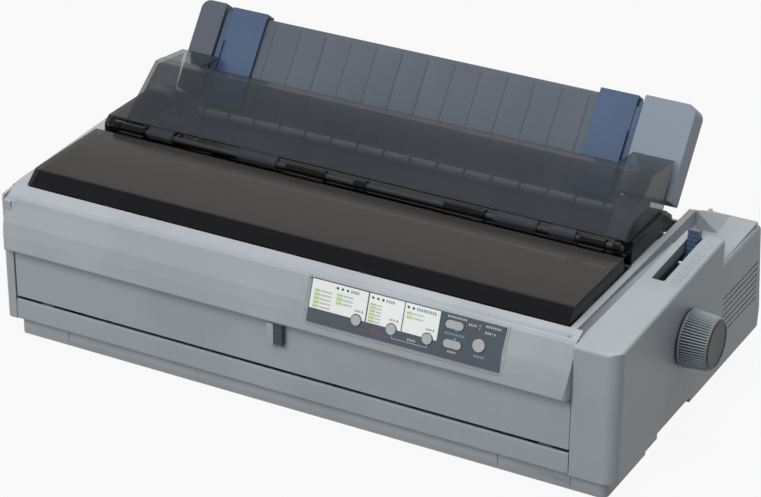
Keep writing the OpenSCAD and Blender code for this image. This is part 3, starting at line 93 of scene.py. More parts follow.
def linear(colour: str) -> tuple[float, float, float, float]:
    """Turn an sRGB colour into the linear one of a shader.

    Args:
        colour: hex value such as "#A0A4A8".

    Returns:
        Red, green, blue and a full alpha.
    """
    parts = (int(colour[i:i + 2], 16) / 255 for i in (1, 3, 5))
    red, green, blue = (c / 12.92 if c <= 0.04045 else ((c + 0.055) / 1.055) ** 2.4 for c in parts)
    return red, green, blue, 1.0


def empty_tree(owner: bpy.types.Material | bpy.types.World) -> bpy.types.NodeTree:
    """Turn on an owner's nodes and clear them.

    Args:
        owner: a new material or world.

    Returns:
        Its empty tree.
    """
    owner.use_nodes = True
    owner.node_tree.nodes.clear()
    return owner.node_tree


def start_material(name: str) -> tuple[bpy.types.Material, bpy.types.NodeTree, Socket]:
    """Make an empty node material.

    Args:
        name: name of the finish.

    Returns:
        The material, its tree and the Object coordinates that its patterns read.
    """
    material = bpy.data.materials.new(name)
    tree = empty_tree(material)
    return material, tree, add_node(tree, "ShaderNodeTexCoord").outputs["Object"]


def close_material(tree: bpy.types.NodeTree, shader: bpy.types.Node) -> None:
    """Lead the shader to the material's output."""
    add_node(tree, "ShaderNodeOutputMaterial", {"Surface": shader.outputs[0]})


# ------------------------------------------------------------------ finishes

@dataclass(frozen=True)
class MouldedPlastic:
    """Injection-moulded ABS: one colour with a slight cloud, a fine spark-eroded grain and a soft sheen.

    The grain of the real tool is about 0.2 mm; it is drawn three to five times as coarse so that it shows.
    """

    name: str
    colour: str
    cloud: str                  # colour of the cloud, a shade darker
    roughness: float = 0.5
    grain: float = 0.8          # mm between two grains
    relief: float = 0.03        # mm from the foot to the top of a grain
    cloud_size: float = 90.0    # mm across one cloud
    gleam: float = 0.42         # strength of the mirrored light
    speck: float = 0.30         # share of the tone that one grain turns
    gloss_swing: float = 0.07   # how far the roughness swings from grain to grain
    ior: float = 1.53

    def build(self) -> bpy.types.Material:
        """Build the node material of this plastic.

        Returns:
            The material.
        """
        material, tree, spot = start_material(self.name)
        clouds = add_node(tree, "ShaderNodeTexNoise", {"Vector": spot, "Scale": 1 / (self.cloud_size * MM),
                                                       "Detail": 3.0, "Roughness": 0.55})
        grains = add_node(tree, "ShaderNodeTexNoise", {"Vector": spot, "Scale": 1 / (self.grain * MM),
                                                       "Detail": 2.0, "Roughness": 0.6})
        tone = add_node(tree, "ShaderNodeMapRange", {"Value": clouds.outputs["Fac"], "From Min": 0.35,
                                                     "From Max": 0.68})
        speck = add_node(tree, "ShaderNodeMath", {0: grains.outputs["Fac"], 1: self.speck}, operation="MULTIPLY")
        blend = add_node(tree, "ShaderNodeMath", {0: tone.outputs[0], 1: speck.outputs[0]}, operation="ADD",
                         use_clamp=True)
        colour = self.tint(tree, spot, add_node(tree, "ShaderNodeMix", {
            "Factor": blend.outputs[0], COLOUR_A: linear(self.colour), COLOUR_B: linear(self.cloud)}, data_type="RGBA"))
        gloss = add_node(tree, "ShaderNodeMapRange", {
            "Value": grains.outputs["Fac"], "To Min": self.roughness - self.gloss_swing,
            "To Max": self.roughness + self.gloss_swing})
        bump = add_node(tree, "ShaderNodeBump", {"Height": grains.outputs["Fac"], "Strength": 0.55,
                                                 "Distance": self.relief * MM})
        close_material(tree, add_node(tree, "ShaderNodeBsdfPrincipled", {
            "Base Color": colour.outputs[MIXED], "Roughness": gloss.outputs[0], "IOR": self.ior,
            "Specular IOR Level": self.gleam, "Normal": bump.outputs[0]}))
        return material

    def tint(self, tree: bpy.types.NodeTree, spot: Socket, mix: bpy.types.Node) -> bpy.types.Node:
        """Give the node whose third output colours the plastic; a plain moulding keeps its own mix.

        Args:
            tree: node tree of the material.
            spot: object coordinates.
            mix: the clouded colour.

        Returns:
            The node to use.
        """
        return mix


@dataclass(frozen=True)
class PaintedLitEndPlastic(MouldedPlastic):
    """Moulded plastic with a painted light: a paler second tone to the right of a plane across the case, where more
    light falls.
    """

    # paler tone, painted for the light on the end beyond the plane
    second: str = "#A4A9B0"
    painted_light_from: float = 0.0        # mm along the case

    def tint(self, tree: bpy.types.NodeTree, spot: Socket, mix: bpy.types.Node) -> bpy.types.Node:
        """Turn to the paler second tone, the painted light, beyond the plane.

        Args:
            tree: node tree of the material.
            spot: object coordinates.
            mix: the clouded colour of the plastic itself.

        Returns:
            The node that carries both tones.
        """
        along = add_node(tree, "ShaderNodeSeparateXYZ", {0: spot})
        painted_light_mask = add_node(tree, "ShaderNodeMath", {0: along.outputs["X"], 1: self.painted_light_from * MM},
                        operation="GREATER_THAN")
        return add_node(tree, "ShaderNodeMix", {"Factor": painted_light_mask.outputs[0], COLOUR_A: mix.outputs[MIXED],
                                                COLOUR_B: linear(self.second)}, data_type="RGBA")


@dataclass(frozen=True)
class FlutedPlastic(MouldedPlastic):
    """Plastic of a turned, fluted grip about an axis along the case: pale ridges, with painted shade in the grooves and
    on the face.
    """

    # painted shade of the grooves and of the knob's face
    groove_shade: str = "#2B2E31"
    axis_y: float = PLATEN_Y    # mm
    axis_z: float = PLATEN_Z
    crest: float = KNOB_RADIUS  # radius of the ridges, carried back to the middle of the case
    taper: float = KNOB_TAPER   # loss of radius for each mm along the case
    depth: float = FLUTE_DEPTH  # mm
    foot: float = 0.8           # share of the depth below which all takes the full painted shade
    brow: float = 0.15          # share of the depth above which all is as pale as the ridge

    def tint(self, tree: bpy.types.NodeTree, spot: Socket, mix: bpy.types.Node) -> bpy.types.Node:
        """Darken everything that lies inside the ridges with painted shade: the grooves and the face.

        Args:
            tree: node tree of the material.
            spot: object coordinates.
            mix: the clouded colour of the ridges.

        Returns:
            The node that carries both tones.
        """
        along = add_node(tree, "ShaderNodeSeparateXYZ", {0: spot})
        flat = add_node(tree, "ShaderNodeVectorMath", {0: spot, 1: (0, 1, 1)}, operation="MULTIPLY")
        arm = add_node(tree, "ShaderNodeVectorMath", {
            0: flat.outputs[0], 1: (0, self.axis_y * MM, self.axis_z * MM)}, operation="SUBTRACT")
        reach = add_node(tree, "ShaderNodeVectorMath", {0: arm.outputs[0]}, operation="LENGTH")
        level = add_node(tree, "ShaderNodeMath", {0: along.outputs["X"], 1: self.taper, 2: reach.outputs["Value"]},
                         operation="MULTIPLY_ADD")
        ridge = add_node(tree, "ShaderNodeMapRange", {
            "Value": level.outputs[0], "From Min": (self.crest - self.foot * self.depth) * MM,
            "From Max": (self.crest - self.brow * self.depth) * MM})
        return add_node(tree, "ShaderNodeMix", {"Factor": ridge.outputs[0], COLOUR_A: linear(self.groove_shade),
                                                COLOUR_B: mix.outputs[MIXED]}, data_type="RGBA")


@dataclass(frozen=True)
class SmokedCover:
    """Smoke-tinted polystyrene, injection moulded and polished: dark, glossy and half clear, with faint haze and a
    painted paler sheen on the faces that look up.
    """

    name: str
    colour: str
    haze: str
    cover: float                # share of the light that the wall stops
    roughness: float = 0.12
    gleam: float = 0.2          # strength of the mirrored light
    painted_top_sheen: str = "#33373D"      # paler tone painted as sheen on the faces that look up, where light from above falls
    haze_size: float = 70.0     # mm across one patch of haze
    dust_size: float = 1.4      # mm between two specks of dust
    gloss_swing: float = 0.02   # how far the roughness swings from speck to speck
    ior: float = 1.59

    def build(self) -> bpy.types.Material:
        """Build the node material of this cover.

        Returns:
            The material.
        """
        material, tree, spot = start_material(self.name)
        haze = add_node(tree, "ShaderNodeTexNoise", {"Vector": spot, "Scale": 1 / (self.haze_size * MM),
                                                     "Detail": 4.0})
        dust = add_node(tree, "ShaderNodeTexNoise", {"Vector": spot, "Scale": 1 / (self.dust_size * MM),
                                                     "Detail": 1.0})
        tone = add_node(tree, "ShaderNodeMapRange", {"Value": haze.outputs["Fac"], "From Min": 0.35,
                                                     "From Max": 0.7})
        colour = add_node(tree, "ShaderNodeMix", {"Factor": tone.outputs[0], COLOUR_A: linear(self.colour),
                                                  COLOUR_B: linear(self.haze)}, data_type="RGBA")
        normal = add_node(tree, "ShaderNodeTexCoord").outputs["Normal"]
        facing = add_node(tree, "ShaderNodeSeparateXYZ", {0: normal})
        painted_sheen_mask = add_node(tree, "ShaderNodeMapRange", {"Value": facing.outputs["Z"], "From Min": 0.9,
                                                       "From Max": 0.985})
        colour = add_node(tree, "ShaderNodeMix", {"Factor": painted_sheen_mask.outputs[0], COLOUR_A: colour.outputs[MIXED],
                                                  COLOUR_B: linear(self.painted_top_sheen)}, data_type="RGBA")
        gloss = add_node(tree, "ShaderNodeMapRange", {
            "Value": dust.outputs["Fac"], "To Min": self.roughness - self.gloss_swing,
            "To Max": self.roughness + self.gloss_swing})
        ripple = add_node(tree, "ShaderNodeBump", {"Height": haze.outputs["Fac"], "Strength": 0.06,
                                                   "Distance": 0.3 * MM})
        close_material(tree, add_node(tree, "ShaderNodeBsdfPrincipled", {
            "Base Color": colour.outputs[MIXED], "Roughness": gloss.outputs[0], "IOR": self.ior, "Alpha": self.cover,
            "Specular IOR Level": self.gleam, "Normal": ripple.outputs[0]}))
        material.surface_render_method = "BLENDED"
        return material


@dataclass(frozen=True)
class SheetMetal:
    """Zinc-plated or painted sheet and bar: metal with a drawn direction, faint spangle and soft streaks."""

    name: str
    colour: str
    streak: str
    roughness: float = 0.34
    metallic: float = 1.0
    spangle: float = 6.0        # mm across one zinc flower
    line: float = 0.9           # mm between two drawn lines
    stretch: float = 0.06       # how much slower the lines change along the case than across it
    gloss_swing: float = 0.1    # how far the roughness swings from line to line

    def build(self) -> bpy.types.Material:
        """Build the node material of this metal.

        Returns:
            The material.
        """
        material, tree, spot = start_material(self.name)
        drawn = add_node(tree, "ShaderNodeMapping", {"Vector": spot, "Scale": (self.stretch, 1.0, 1.0)})
        lines = add_node(tree, "ShaderNodeTexNoise", {"Vector": drawn.outputs[0], "Scale": 1 / (self.line * MM),
                                                      "Detail": 3.0})
        flowers = add_node(tree, "ShaderNodeTexVoronoi", {"Vector": spot, "Scale": 1 / (self.spangle * MM)})
        tone = add_node(tree, "ShaderNodeMath", {0: flowers.outputs["Color"], 1: 0.45}, operation="MULTIPLY")
        both = add_node(tree, "ShaderNodeMath", {0: tone.outputs[0], 1: lines.outputs["Fac"]}, operation="ADD",
                        use_clamp=True)
        colour = add_node(tree, "ShaderNodeMix", {"Factor": both.outputs[0], COLOUR_A: linear(self.streak),
                                                  COLOUR_B: linear(self.colour)}, data_type="RGBA")
        gloss = add_node(tree, "ShaderNodeMapRange", {
            "Value": lines.outputs["Fac"], "To Min": self.roughness - self.gloss_swing,
            "To Max": self.roughness + self.gloss_swing})
        bump = add_node(tree, "ShaderNodeBump", {"Height": lines.outputs["Fac"], "Strength": 0.2,
                                                 "Distance": 0.02 * MM})
        close_material(tree, add_node(tree, "ShaderNodeBsdfPrincipled", {
            "Base Color": colour.outputs[MIXED], "Metallic": self.metallic, "Roughness": gloss.outputs[0],
            "Normal": bump.outputs[0]}))
        return material


@dataclass(frozen=True)
class GroundRubber:
    """Ground nitrile rubber: black, dull, with the fine turned rings that the grinding leaves."""

    name: str
    colour: str
    worn: str                   # colour where hands and paper have rubbed
    roughness: float = 0.78
    ring: float = 1.6           # mm between two rings
    dust_size: float = 2.5      # mm between two specks of dust
    gloss_swing: float = 0.1    # how far the roughness swings from speck to speck
    ior: float = 1.52

    def build(self) -> bpy.types.Material:
        """Build the node material of this rubber.

        Returns:
            The material.
        """
        material, tree, spot = start_material(self.name)
        rings = add_node(tree, "ShaderNodeTexWave", {"Vector": spot, "Scale": 1 / (self.ring * 2 * math.pi * MM),
                                                     "Distortion": 1.2, "Detail": 2.0}, bands_direction="X")
        dust = add_node(tree, "ShaderNodeTexNoise", {"Vector": spot, "Scale": 1 / (self.dust_size * MM),
                                                     "Detail": 4.0})
        tone = add_node(tree, "ShaderNodeMapRange", {"Value": dust.outputs["Fac"], "From Min": 0.4,
                                                     "From Max": 0.75})
        colour = add_node(tree, "ShaderNodeMix", {"Factor": tone.outputs[0], COLOUR_A: linear(self.colour),
                                                  COLOUR_B: linear(self.worn)}, data_type="RGBA")
        gloss = add_node(tree, "ShaderNodeMapRange", {
            "Value": dust.outputs["Fac"], "To Min": self.roughness - self.gloss_swing,
            "To Max": self.roughness + self.gloss_swing})
        bump = add_node(tree, "ShaderNodeBump", {"Height": rings.outputs["Fac"], "Strength": 0.4,
                                                 "Distance": 0.03 * MM})
        close_material(tree, add_node(tree, "ShaderNodeBsdfPrincipled", {
            "Base Color": colour.outputs[MIXED], "Roughness": gloss.outputs[0], "IOR": self.ior,
            "Normal": bump.outputs[0]}))
        return material


@dataclass(frozen=True)
class SolderMask:
    """Etched circuit board under green lacquer: copper tracks show as lighter lines in steps of 2.54 mm."""

    name: str
    colour: str
    track: str
    pitch: float = 2.54         # mm between two tracks
    patch_size: float = 18.0    # mm across one group of tracks
    roughness: float = 0.3
    ior: float = 1.5

    def build(self) -> bpy.types.Material:
        """Build the node material of this board.

        Returns:
            The material.
        """
        material, tree, spot = start_material(self.name)
        tracks = add_node(tree, "ShaderNodeTexBrick", {
            "Vector": spot, "Scale": 1 / (self.pitch * MM), "Color1": (0, 0, 0, 1), "Color2": (0.25, 0.25, 0.25, 1),
            "Mortar": (1, 1, 1, 1), "Mortar Size": 0.14, "Brick Width": 7.0, "Row Height": 1.0})
        patch = add_node(tree, "ShaderNodeTexNoise", {"Vector": spot, "Scale": 1 / (self.patch_size * MM),
                                                      "Detail": 2.0})
        part = add_node(tree, "ShaderNodeMath", {0: tracks.outputs["Color"], 1: patch.outputs["Fac"]},
                        operation="MULTIPLY")
        colour = add_node(tree, "ShaderNodeMix", {"Factor": part.outputs[0], COLOUR_A: linear(self.colour),
                                                  COLOUR_B: linear(self.track)}, data_type="RGBA")
        bump = add_node(tree, "ShaderNodeBump", {"Height": part.outputs[0], "Strength": 0.4,
                                                 "Distance": 0.05 * MM})
        close_material(tree, add_node(tree, "ShaderNodeBsdfPrincipled", {
            "Base Color": colour.outputs[MIXED], "Roughness": self.roughness, "IOR": self.ior,
            "Normal": bump.outputs[0]}))
        return material


class Finish(Enum):
    """Every finish of the printer."""

    # spark-eroded ABS of the case and its loose mouldings: an even tone, a soft sheen and no mirror
    CASE = MouldedPlastic("grey_moulded_abs", "#A9AFB4", "#A0A6AB", roughness=0.48)
    # the guide: its right end painted paler, for the light that falls on it
    GUIDE = PaintedLitEndPlastic("guide_moulded_abs", "#575E68", "#505761", roughness=0.5,
                           second="#848E9B", painted_light_from=GUIDE_RIGHT)
    ROLL = MouldedPlastic("pale_roll_abs", "#9A9FA6", "#92979E", roughness=0.5)
    GRIP = MouldedPlastic("grip_moulded_abs", "#474C50", "#3F4448", roughness=0.5)
    BLUE = MouldedPlastic("slate_blue_moulded_abs", "#495B77", "#43546E", roughness=0.42)
    LEVER = MouldedPlastic("deep_blue_moulded_abs", "#3F516F", "#394A66", roughness=0.4)
    DARK = MouldedPlastic("charcoal_moulded_abs", "#3C4046", "#34383D", roughness=0.48)
    BLACK = MouldedPlastic("black_moulded_abs", "#1C1D20", "#17181A", roughness=0.42)
    # the knob: pale ridges, with painted shade in the grooves and on the face
    KNOB = FlutedPlastic("knob_moulded_abs", "#959BA1", "#8C9298", roughness=0.42, gleam=0.18,
                         groove_shade="#35393B", crest=KNOB_RADIUS - 0.2 + KNOB_TAPER * (BLOCK_RIGHT + 4.0))
    # polished mouldings: smoother, so that the lamps show in them as soft spots
    PANEL = MouldedPlastic("dark_panel_polycarbonate", "#4D5661", "#485059", roughness=0.38, grain=0.6)
    KEY = MouldedPlastic("pale_key_abs", "#B7BBBE", "#ADB1B5", roughness=0.42, grain=0.5)
    LENS = MouldedPlastic("lamp_lens_acrylic", "#5A626B", "#525A63", roughness=0.3, relief=0.005)
    NYLON = MouldedPlastic("natural_nylon", "#E4E2D6", "#D8D5C6", roughness=0.4, cloud_size=20)
    # printed film and inks: flat colour, almost no relief
    LABEL = MouldedPlastic("white_label_film", "#F7FAF8", "#F0F4F1", roughness=0.32, relief=0.01)
    INK_DARK = MouldedPlastic("grey_legend_ink", "#3E4448", "#363B3F", roughness=0.55, relief=0.005)
    INK_GREY = MouldedPlastic("light_legend_ink", "#969D9B", "#8B9290", roughness=0.5, relief=0.005)
    INK_GREEN = MouldedPlastic("green_legend_wash", "#E1ECCB", "#D8E5BE", roughness=0.4, relief=0.005)
    INK_OLIVE = MouldedPlastic("olive_legend_ink", "#5E6F48", "#556540", roughness=0.5, relief=0.005)
    INK_YELLOW = MouldedPlastic("yellow_legend_ink", "#C9BE4A", "#BCB140", roughness=0.5, relief=0.005)
    INK_PALE = MouldedPlastic("pale_legend_ink", "#C9CED2", "#BDC3C8", roughness=0.5, relief=0.005)
    INK_RED = MouldedPlastic("red_legend_ink", "#A0524E", "#954A47", roughness=0.5, relief=0.005)
    INK_CYAN = MouldedPlastic("cyan_legend_ink", "#7FB4C9", "#74A8BD", roughness=0.5, relief=0.005)
    # the shadow in the fine lines round the panel: a dull tone between case and panel
    RIM = MouldedPlastic("rim_shadow_grey", "#70767C", "#676D73", roughness=0.6)
    # smoke-tinted polystyrene: near black and glossy, with a painted paler sheen where it looks up
    SMOKE = SmokedCover("smoked_cover_styrene", "#0A0B0E", "#0D0E11", cover=0.78, roughness=0.16, gleam=0.12,
                        painted_top_sheen="#3D3C39")
    CLEAR_SMOKE = SmokedCover("light_smoked_cover_styrene", "#30353C", "#383D44", cover=0.56, roughness=0.14)
    # sheet and bar: streaked grey with a broken mirror; paint and enamel take the metal's shine away
    STEEL = SheetMetal("zinc_plated_steel", "#97999C", "#7D8083")
    BRIGHT = SheetMetal("ground_steel_bar", "#CACBCC", "#B4B6B8", roughness=0.2, spangle=30)
    BRASS = SheetMetal("turned_brass", "#C9A45B", "#B08C46", roughness=0.26, spangle=30)
    TIN = SheetMetal("tinned_copper", "#C6C2B4", "#A7A395", roughness=0.3, spangle=12)
    MOTOR = SheetMetal("black_enamelled_steel", "#2A2B2E", "#1F2022", roughness=0.45, metallic=0.0)
    PAINTED = MouldedPlastic("dark_painted_steel", "#2B2D30", "#232528", roughness=0.55)
    # rubber: dull black that shows the rings of its grinding
    RUBBER = GroundRubber("ground_platen_rubber", "#1D1D1E", "#2A2A2B")
    FOOT = GroundRubber("moulded_foot_rubber", "#26272A", "#303236", roughness=0.85)
    # lacquered board: dark green with lighter tracks
    BOARD = SolderMask("green_solder_mask", "#1E4A2E", "#3E7A4C")


MATERIALS: dict[Finish, bpy.types.Material] = {}


def material_of(finish: Finish) -> bpy.types.Material:
    """Give the material of a finish, built once.

    Args:
        finish: the finish.

    Returns:
        Its material.
    """
    if finish not in MATERIALS:
        MATERIALS[finish] = finish.value.build()
    return MATERIALS[finish]


# ------------------------------------------------------------------ meshes

HAIR = 1e-6             # less than any length in a mesh
WELD = 0.004            # mm: points of a CAD mesh nearer than this are one
FLAT = 0.5              # degrees: CAD faces that fold less than this are one
ROOM_SHARE = 0.42       # share of a neighbouring edge that a rounded edge may take
LEAST_ROOM = 0.12       # with room for less than this share of its radius, an edge stays sharp
ROUND_STEPS = 2         # faces across a rounded edge
ROUNDED_FROM = 38.0     # degrees: edges sharper than this are rounded
FAIRED_TO = 12.0        # degrees: folds gentler than this are shaded as one skin
CRISP_FROM = 32.0       # degrees: other edges sharper than this are shaded as edges


def prism(outline: Outline, low: float, high: float, bevel: float = 0.0) -> bmesh.types.BMesh:
    """Make an upright prism from a flat outline.

    Args:
        outline: corners (x, y) in mm, anticlockwise.
        low: height of its underside in mm.
        high: height of its top in mm.
        bevel: radius of its top edge in mm, 0 for none.

    Returns:
        A new bmesh in mm.
    """
    mesh = bmesh.new()
    base = mesh.faces.new([mesh.verts.new((x, y, low)) for x, y in outline])
    top = bmesh.ops.extrude_face_region(mesh, geom=[base])
    lifted = [v for v in top["geom"] if isinstance(v, bmesh.types.BMVert)]
    bmesh.ops.translate(mesh, verts=lifted, vec=(0, 0, high - low))
    bmesh.ops.recalc_face_normals(mesh, faces=mesh.faces)
    if bevel:
        rim = [e for e in mesh.edges if all(v.co.z > high - HAIR for v in e.verts)]
        bmesh.ops.bevel(mesh, geom=rim, offset=bevel, segments=2, affect="EDGES", profile=0.5)
    return mesh


def rounded(width: float, height: float, radius: float, steps: int = 5) -> list[tuple[float, float]]:
    """Give the outline of a rectangle with round corners, centred, in mm.

    Args:
        width: its whole width.
        height: its whole height.
        radius: corner radius.
        steps: edges in one corner.

    Returns:
        The corners (x, y), anticlockwise.
    """
    points = []
    for quarter, (sx, sy) in enumerate(((1, 1), (-1, 1), (-1, -1), (1, -1))):
        for k in range(steps + 1):
            angle = math.radians(90 * (quarter + k / steps))
            points.append((sx * (width / 2 - radius) + radius * math.cos(angle),
                           sy * (height / 2 - radius) + radius * math.sin(angle)))
    return points


def merge(parts: Iterable[bmesh.types.BMesh]) -> bmesh.types.BMesh:
    """Join several meshes into a new one.

    Args:
        parts: the meshes; they are freed.

    Returns:
        A new bmesh that holds them all.
    """
    whole = bmesh.new()
    for part in parts:
        data = bpy.data.meshes.new("part")
        part.to_mesh(data)
        whole.from_mesh(data)
        bpy.data.meshes.remove(data)
        part.free()
    return whole


def moved(mesh: bmesh.types.BMesh, place: Matrix) -> bmesh.types.BMesh:
    """Move a mesh's points by a matrix and give it back."""
    bmesh.ops.transform(mesh, matrix=place, verts=mesh.verts)
    return mesh


def to_data(mesh: bmesh.types.BMesh, name: str) -> bpy.types.Mesh:
    """Turn a bmesh into mesh data.

    Args:
        mesh: the bmesh; it is freed.
        name: name of the data.

    Returns:
        The new mesh data.
    """
    data = bpy.data.meshes.new(name)
    mesh.to_mesh(data)
    mesh.free()
    return data


def shade(data: bpy.types.Mesh, angle: float = CRISP_FROM) -> None:
    """Shade a mesh smooth.

    Args:
        data: the mesh.
        angle: folds sharper than this, in degrees, stay crisp.
    """
    for face in data.polygons:
        face.use_smooth = True
    data.set_sharp_from_angle(angle=math.radians(angle))


# ------------------------------------------------------------------ pieces

@dataclass(frozen=True)
class Seat:
    """What a piece belongs to: the body that it rides on and the record's material slot."""

    body: str
    slot: str


BODY_OF = {node: body for body, nodes in frame["record"]["behaviour"]["bodies"].items() for node in nodes}
SLOT_OF = {part["node"]: part["material_slot"] for part in frame["record"]["subparts"]}


def seat_of(node: str) -> Seat:
    """Give the seat of a CAD node."""
    return Seat(BODY_OF[node], SLOT_OF[node])


def linked(name: str, data: bpy.types.ID) -> bpy.types.Object:
    """Put an object with that data into the scene, at the origin.

    Args:
        name: name of the object.
        data: its mesh, curve or light.

    Returns:
        The new object.
    """
    thing = bpy.data.objects.new(name, data)
    bpy.context.collection.objects.link(thing)
    return thing


def settle(piece: bpy.types.Object, seat: Seat, finish: Finish) -> bpy.types.Object:
    """Give a piece its material and its body, and log it.

    Args:
        piece: the piece, at the origin.
        seat: its body and slot.
        finish: its finish.

    Returns:
        The same piece.
    """
    piece.data.materials.clear()
    piece.data.materials.append(material_of(finish))
    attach(piece, seat.body)
    LOG.info("%s: %d faces, rides on %s", piece.name, len(piece.data.polygons), seat.body)
    return piece


def add_piece(name: str, mesh: bmesh.types.BMesh, place: Matrix, seat: Seat, finish: Finish) -> bpy.types.Object:
    """Turn a mesh in mm into a finished piece of the printer.

    Args:
        name: name of the piece.
        mesh: its mesh, in mm; it is freed.
        place: matrix from the mesh's own axes to the row frame, in mm.
        seat: its body and slot.
        finish: its finish.

    Returns:
        The new object, at the origin.
    """
    data = to_data(moved(mesh, Matrix.Scale(MM, 4) @ place), name)
    shade(data)
    return settle(linked(name, data), seat, finish)


def baked_mesh(draft: bpy.types.Object, name: str) -> bpy.types.Mesh:
    """Evaluate an object's modifiers into a plain mesh and drop the object.

    Args:
        draft: the object with its modifiers.
        name: name of the new mesh.

    Returns:
        The plain mesh.
    """
    graph = bpy.context.evaluated_depsgraph_get()
    data = bpy.data.meshes.new_from_object(draft.evaluated_get(graph), depsgraph=graph)
    data.name = name
    bpy.data.objects.remove(draft)
    return data


def cad_copy(node: str) -> bmesh.types.BMesh:
    """Copy a CAD node's mesh, in metres, with its loose triangles joined at their corners.

    Args:
        node: name of the CAD node.

    Returns:
        A new bmesh.
    """
    mesh = bmesh.new()
    mesh.from_mesh(frame["nodes"][node].data)
    bmesh.ops.remove_doubles(mesh, verts=mesh.verts, dist=WELD * MM)
    return mesh


def share_radius(mesh: bmesh.types.BMesh, radius: float) -> None:
    """Weight each sharp edge by the radius that the faces beside it have room for.

    Args:
        mesh: the mesh, in metres.
        radius: the wanted edge radius in metres.
    """
    weight = mesh.edges.layers.float.new("bevel_weight_edge")
    for edge in mesh.edges:
        if len(edge.link_faces) != 2 or edge.calc_face_angle(0.0) < math.radians(ROUNDED_FROM):
            continue
        beside = [other.calc_length() for face in edge.link_faces for corner in edge.verts
                  for other in corner.link_edges if other is not edge and face in other.link_faces]
        room = min(beside, default=radius) * ROOM_SHARE / radius
        edge[weight] = min(1.0, room) if room > LEAST_ROOM else 0.0


def soften(node: str, finish: Finish, radius: float) -> bpy.types.Object:
    """Stand in for a CAD node with its own shape and the small edge radii of a moulding.

    Args:
        node: name of the CAD node.
        finish: its finish.
        radius: edge radius in mm.

    Returns:
        The new piece.
    """
    mesh = cad_copy(node)
    bmesh.ops.dissolve_limit(mesh, angle_limit=math.radians(FLAT), verts=mesh.verts, edges=mesh.edges,
                             use_dissolve_boundaries=False, delimit={"NORMAL"})
    share_radius(mesh, radius * MM)
    name = node + "_moulded"
    data = to_data(mesh, name)
    shade(data, ROUNDED_FROM)
    draft = linked(node + "_draft", data)
    rounding = draft.modifiers.new("edge radius", "BEVEL")
    rounding.width, rounding.segments = radius * MM, ROUND_STEPS
    rounding.limit_method = "WEIGHT"
    rounding.harden_normals = True
    rounding.use_clamp_overlap = False
    piece = linked(name, baked_mesh(draft, name))
    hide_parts(node)
    return settle(piece, seat_of(node), finish)


def fair(node: str, finish: Finish) -> bpy.types.Object:
    """Stand in for a CAD node with its own shape, its gentle folds shaded as one curved skin.

    Args:
        node: name of the CAD node.
        finish: its finish.

    Returns:
        The new piece.
    """
    name = node + "_faired"
    data = to_data(cad_copy(node), name)
    shade(data, FAIRED_TO)
    piece = linked(name, data)
    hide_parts(node)
    return settle(piece, seat_of(node), finish)


def dress(node: str, finish: Finish) -> None:
    """Give a CAD node that keeps its own mesh a finish.

    Args:
        node: name of the CAD node.
        finish: its finish.
    """
    part = frame["nodes"][node]
    if not part.material_slots:
        part.data.materials.append(None)
    for place in part.material_slots:
        place.material = material_of(finish)
    LOG.info("%s: dressed as %s", node, finish.value.name)


def mould(finish: Finish, radius: float, *nodes: str) -> None:
    """Give CAD nodes a finish and the edge radius of their making, in mm."""
    for node in nodes:
        soften(node, finish, radius)


def plane(origin: Point, lean: float) -> Matrix:
    """Give the matrix of a plane that leans from upright.

    Args:
        origin: its zero point in mm.
        lean: angle from upright in degrees, its top leaning back.

    Returns:
        Matrix with X along the case, Y up the slope and Z out of the plane.
    """
    return Matrix.Translation(origin) @ Matrix.Rotation(math.radians(90 - lean), 4, "X")


def at(x: float, y: float, z: float = 0.0) -> Matrix:
    """Give a plain shift in mm."""
    return Matrix.Translation((x, y, z))


# ------------------------------------------------------------------ geometry nodes

class Stud(Enum):
    """What a repeated tree sets on each of its points."""

    BAR = "GeometryNodeMeshCube"
    PIP = "GeometryNodeMeshCylinder"


PIP_SIDES = 14


def start_growth(name: str, sizes: Mapping[str, tuple[str, Any]],
                 takes_curve: bool = False) -> tuple[bpy.types.NodeTree, bpy.types.Node]:
    """Make an empty Geometry Nodes tree with named inputs.

    Args:
        name: name of the tree.
        sizes: input name to its socket type and first value.
        takes_curve: True where the tree starts from the object's own curve.

    Returns:
        The tree and its Group Input node.
    """
    tree = bpy.data.node_groups.new(name, "GeometryNodeTree")
    tree.interface.new_socket("Geometry", in_out="OUTPUT", socket_type="NodeSocketGeometry")
    if takes_curve:
        tree.interface.new_socket("Path", in_out="INPUT", socket_type="NodeSocketGeometry")
    for title, (kind, value) in sizes.items():
        socket = tree.interface.new_socket(title, in_out="INPUT", socket_type=kind)
        if value is not None:
            socket.default_value = value
    return tree, add_node(tree, "NodeGroupInput")


def end_growth(tree: bpy.types.NodeTree, instances: Socket, finish: Socket) -> None:
    """Close a tree: realised instances, their material, the output.

    Args:
        tree: the tree.
        instances: the studs on their points.
        finish: the input that holds the material.
    """
    solid = add_node(tree, "GeometryNodeRealizeInstances", {"Geometry": instances})
    dressed = add_node(tree, "GeometryNodeSetMaterial", {"Geometry": solid.outputs[0], "Material": finish})
    add_node(tree, "NodeGroupOutput", {"Geometry": dressed.outputs[0]})


def stud_node(tree: bpy.types.NodeTree, stud: Stud, size: Socket) -> Socket:
    """Add the repeated shape itself.

    Args:
        tree: the tree.
        stud: a bar of that size, or a round pip as wide as its X.
        size: the input that holds the size.

    Returns:
        The socket that gives the shape.
    """
    if stud is Stud.BAR:
        return add_node(tree, stud.value, {"Size": size}).outputs["Mesh"]
    parts = add_node(tree, "ShaderNodeSeparateXYZ", {"Vector": size})
    half = add_node(tree, "ShaderNodeMath", {0: parts.outputs["X"], 1: 0.5}, operation="MULTIPLY")
    return add_node(tree, stud.value, {"Vertices": PIP_SIDES, "Radius": half.outputs[0],
                                       "Depth": parts.outputs["Z"]}).outputs["Mesh"]


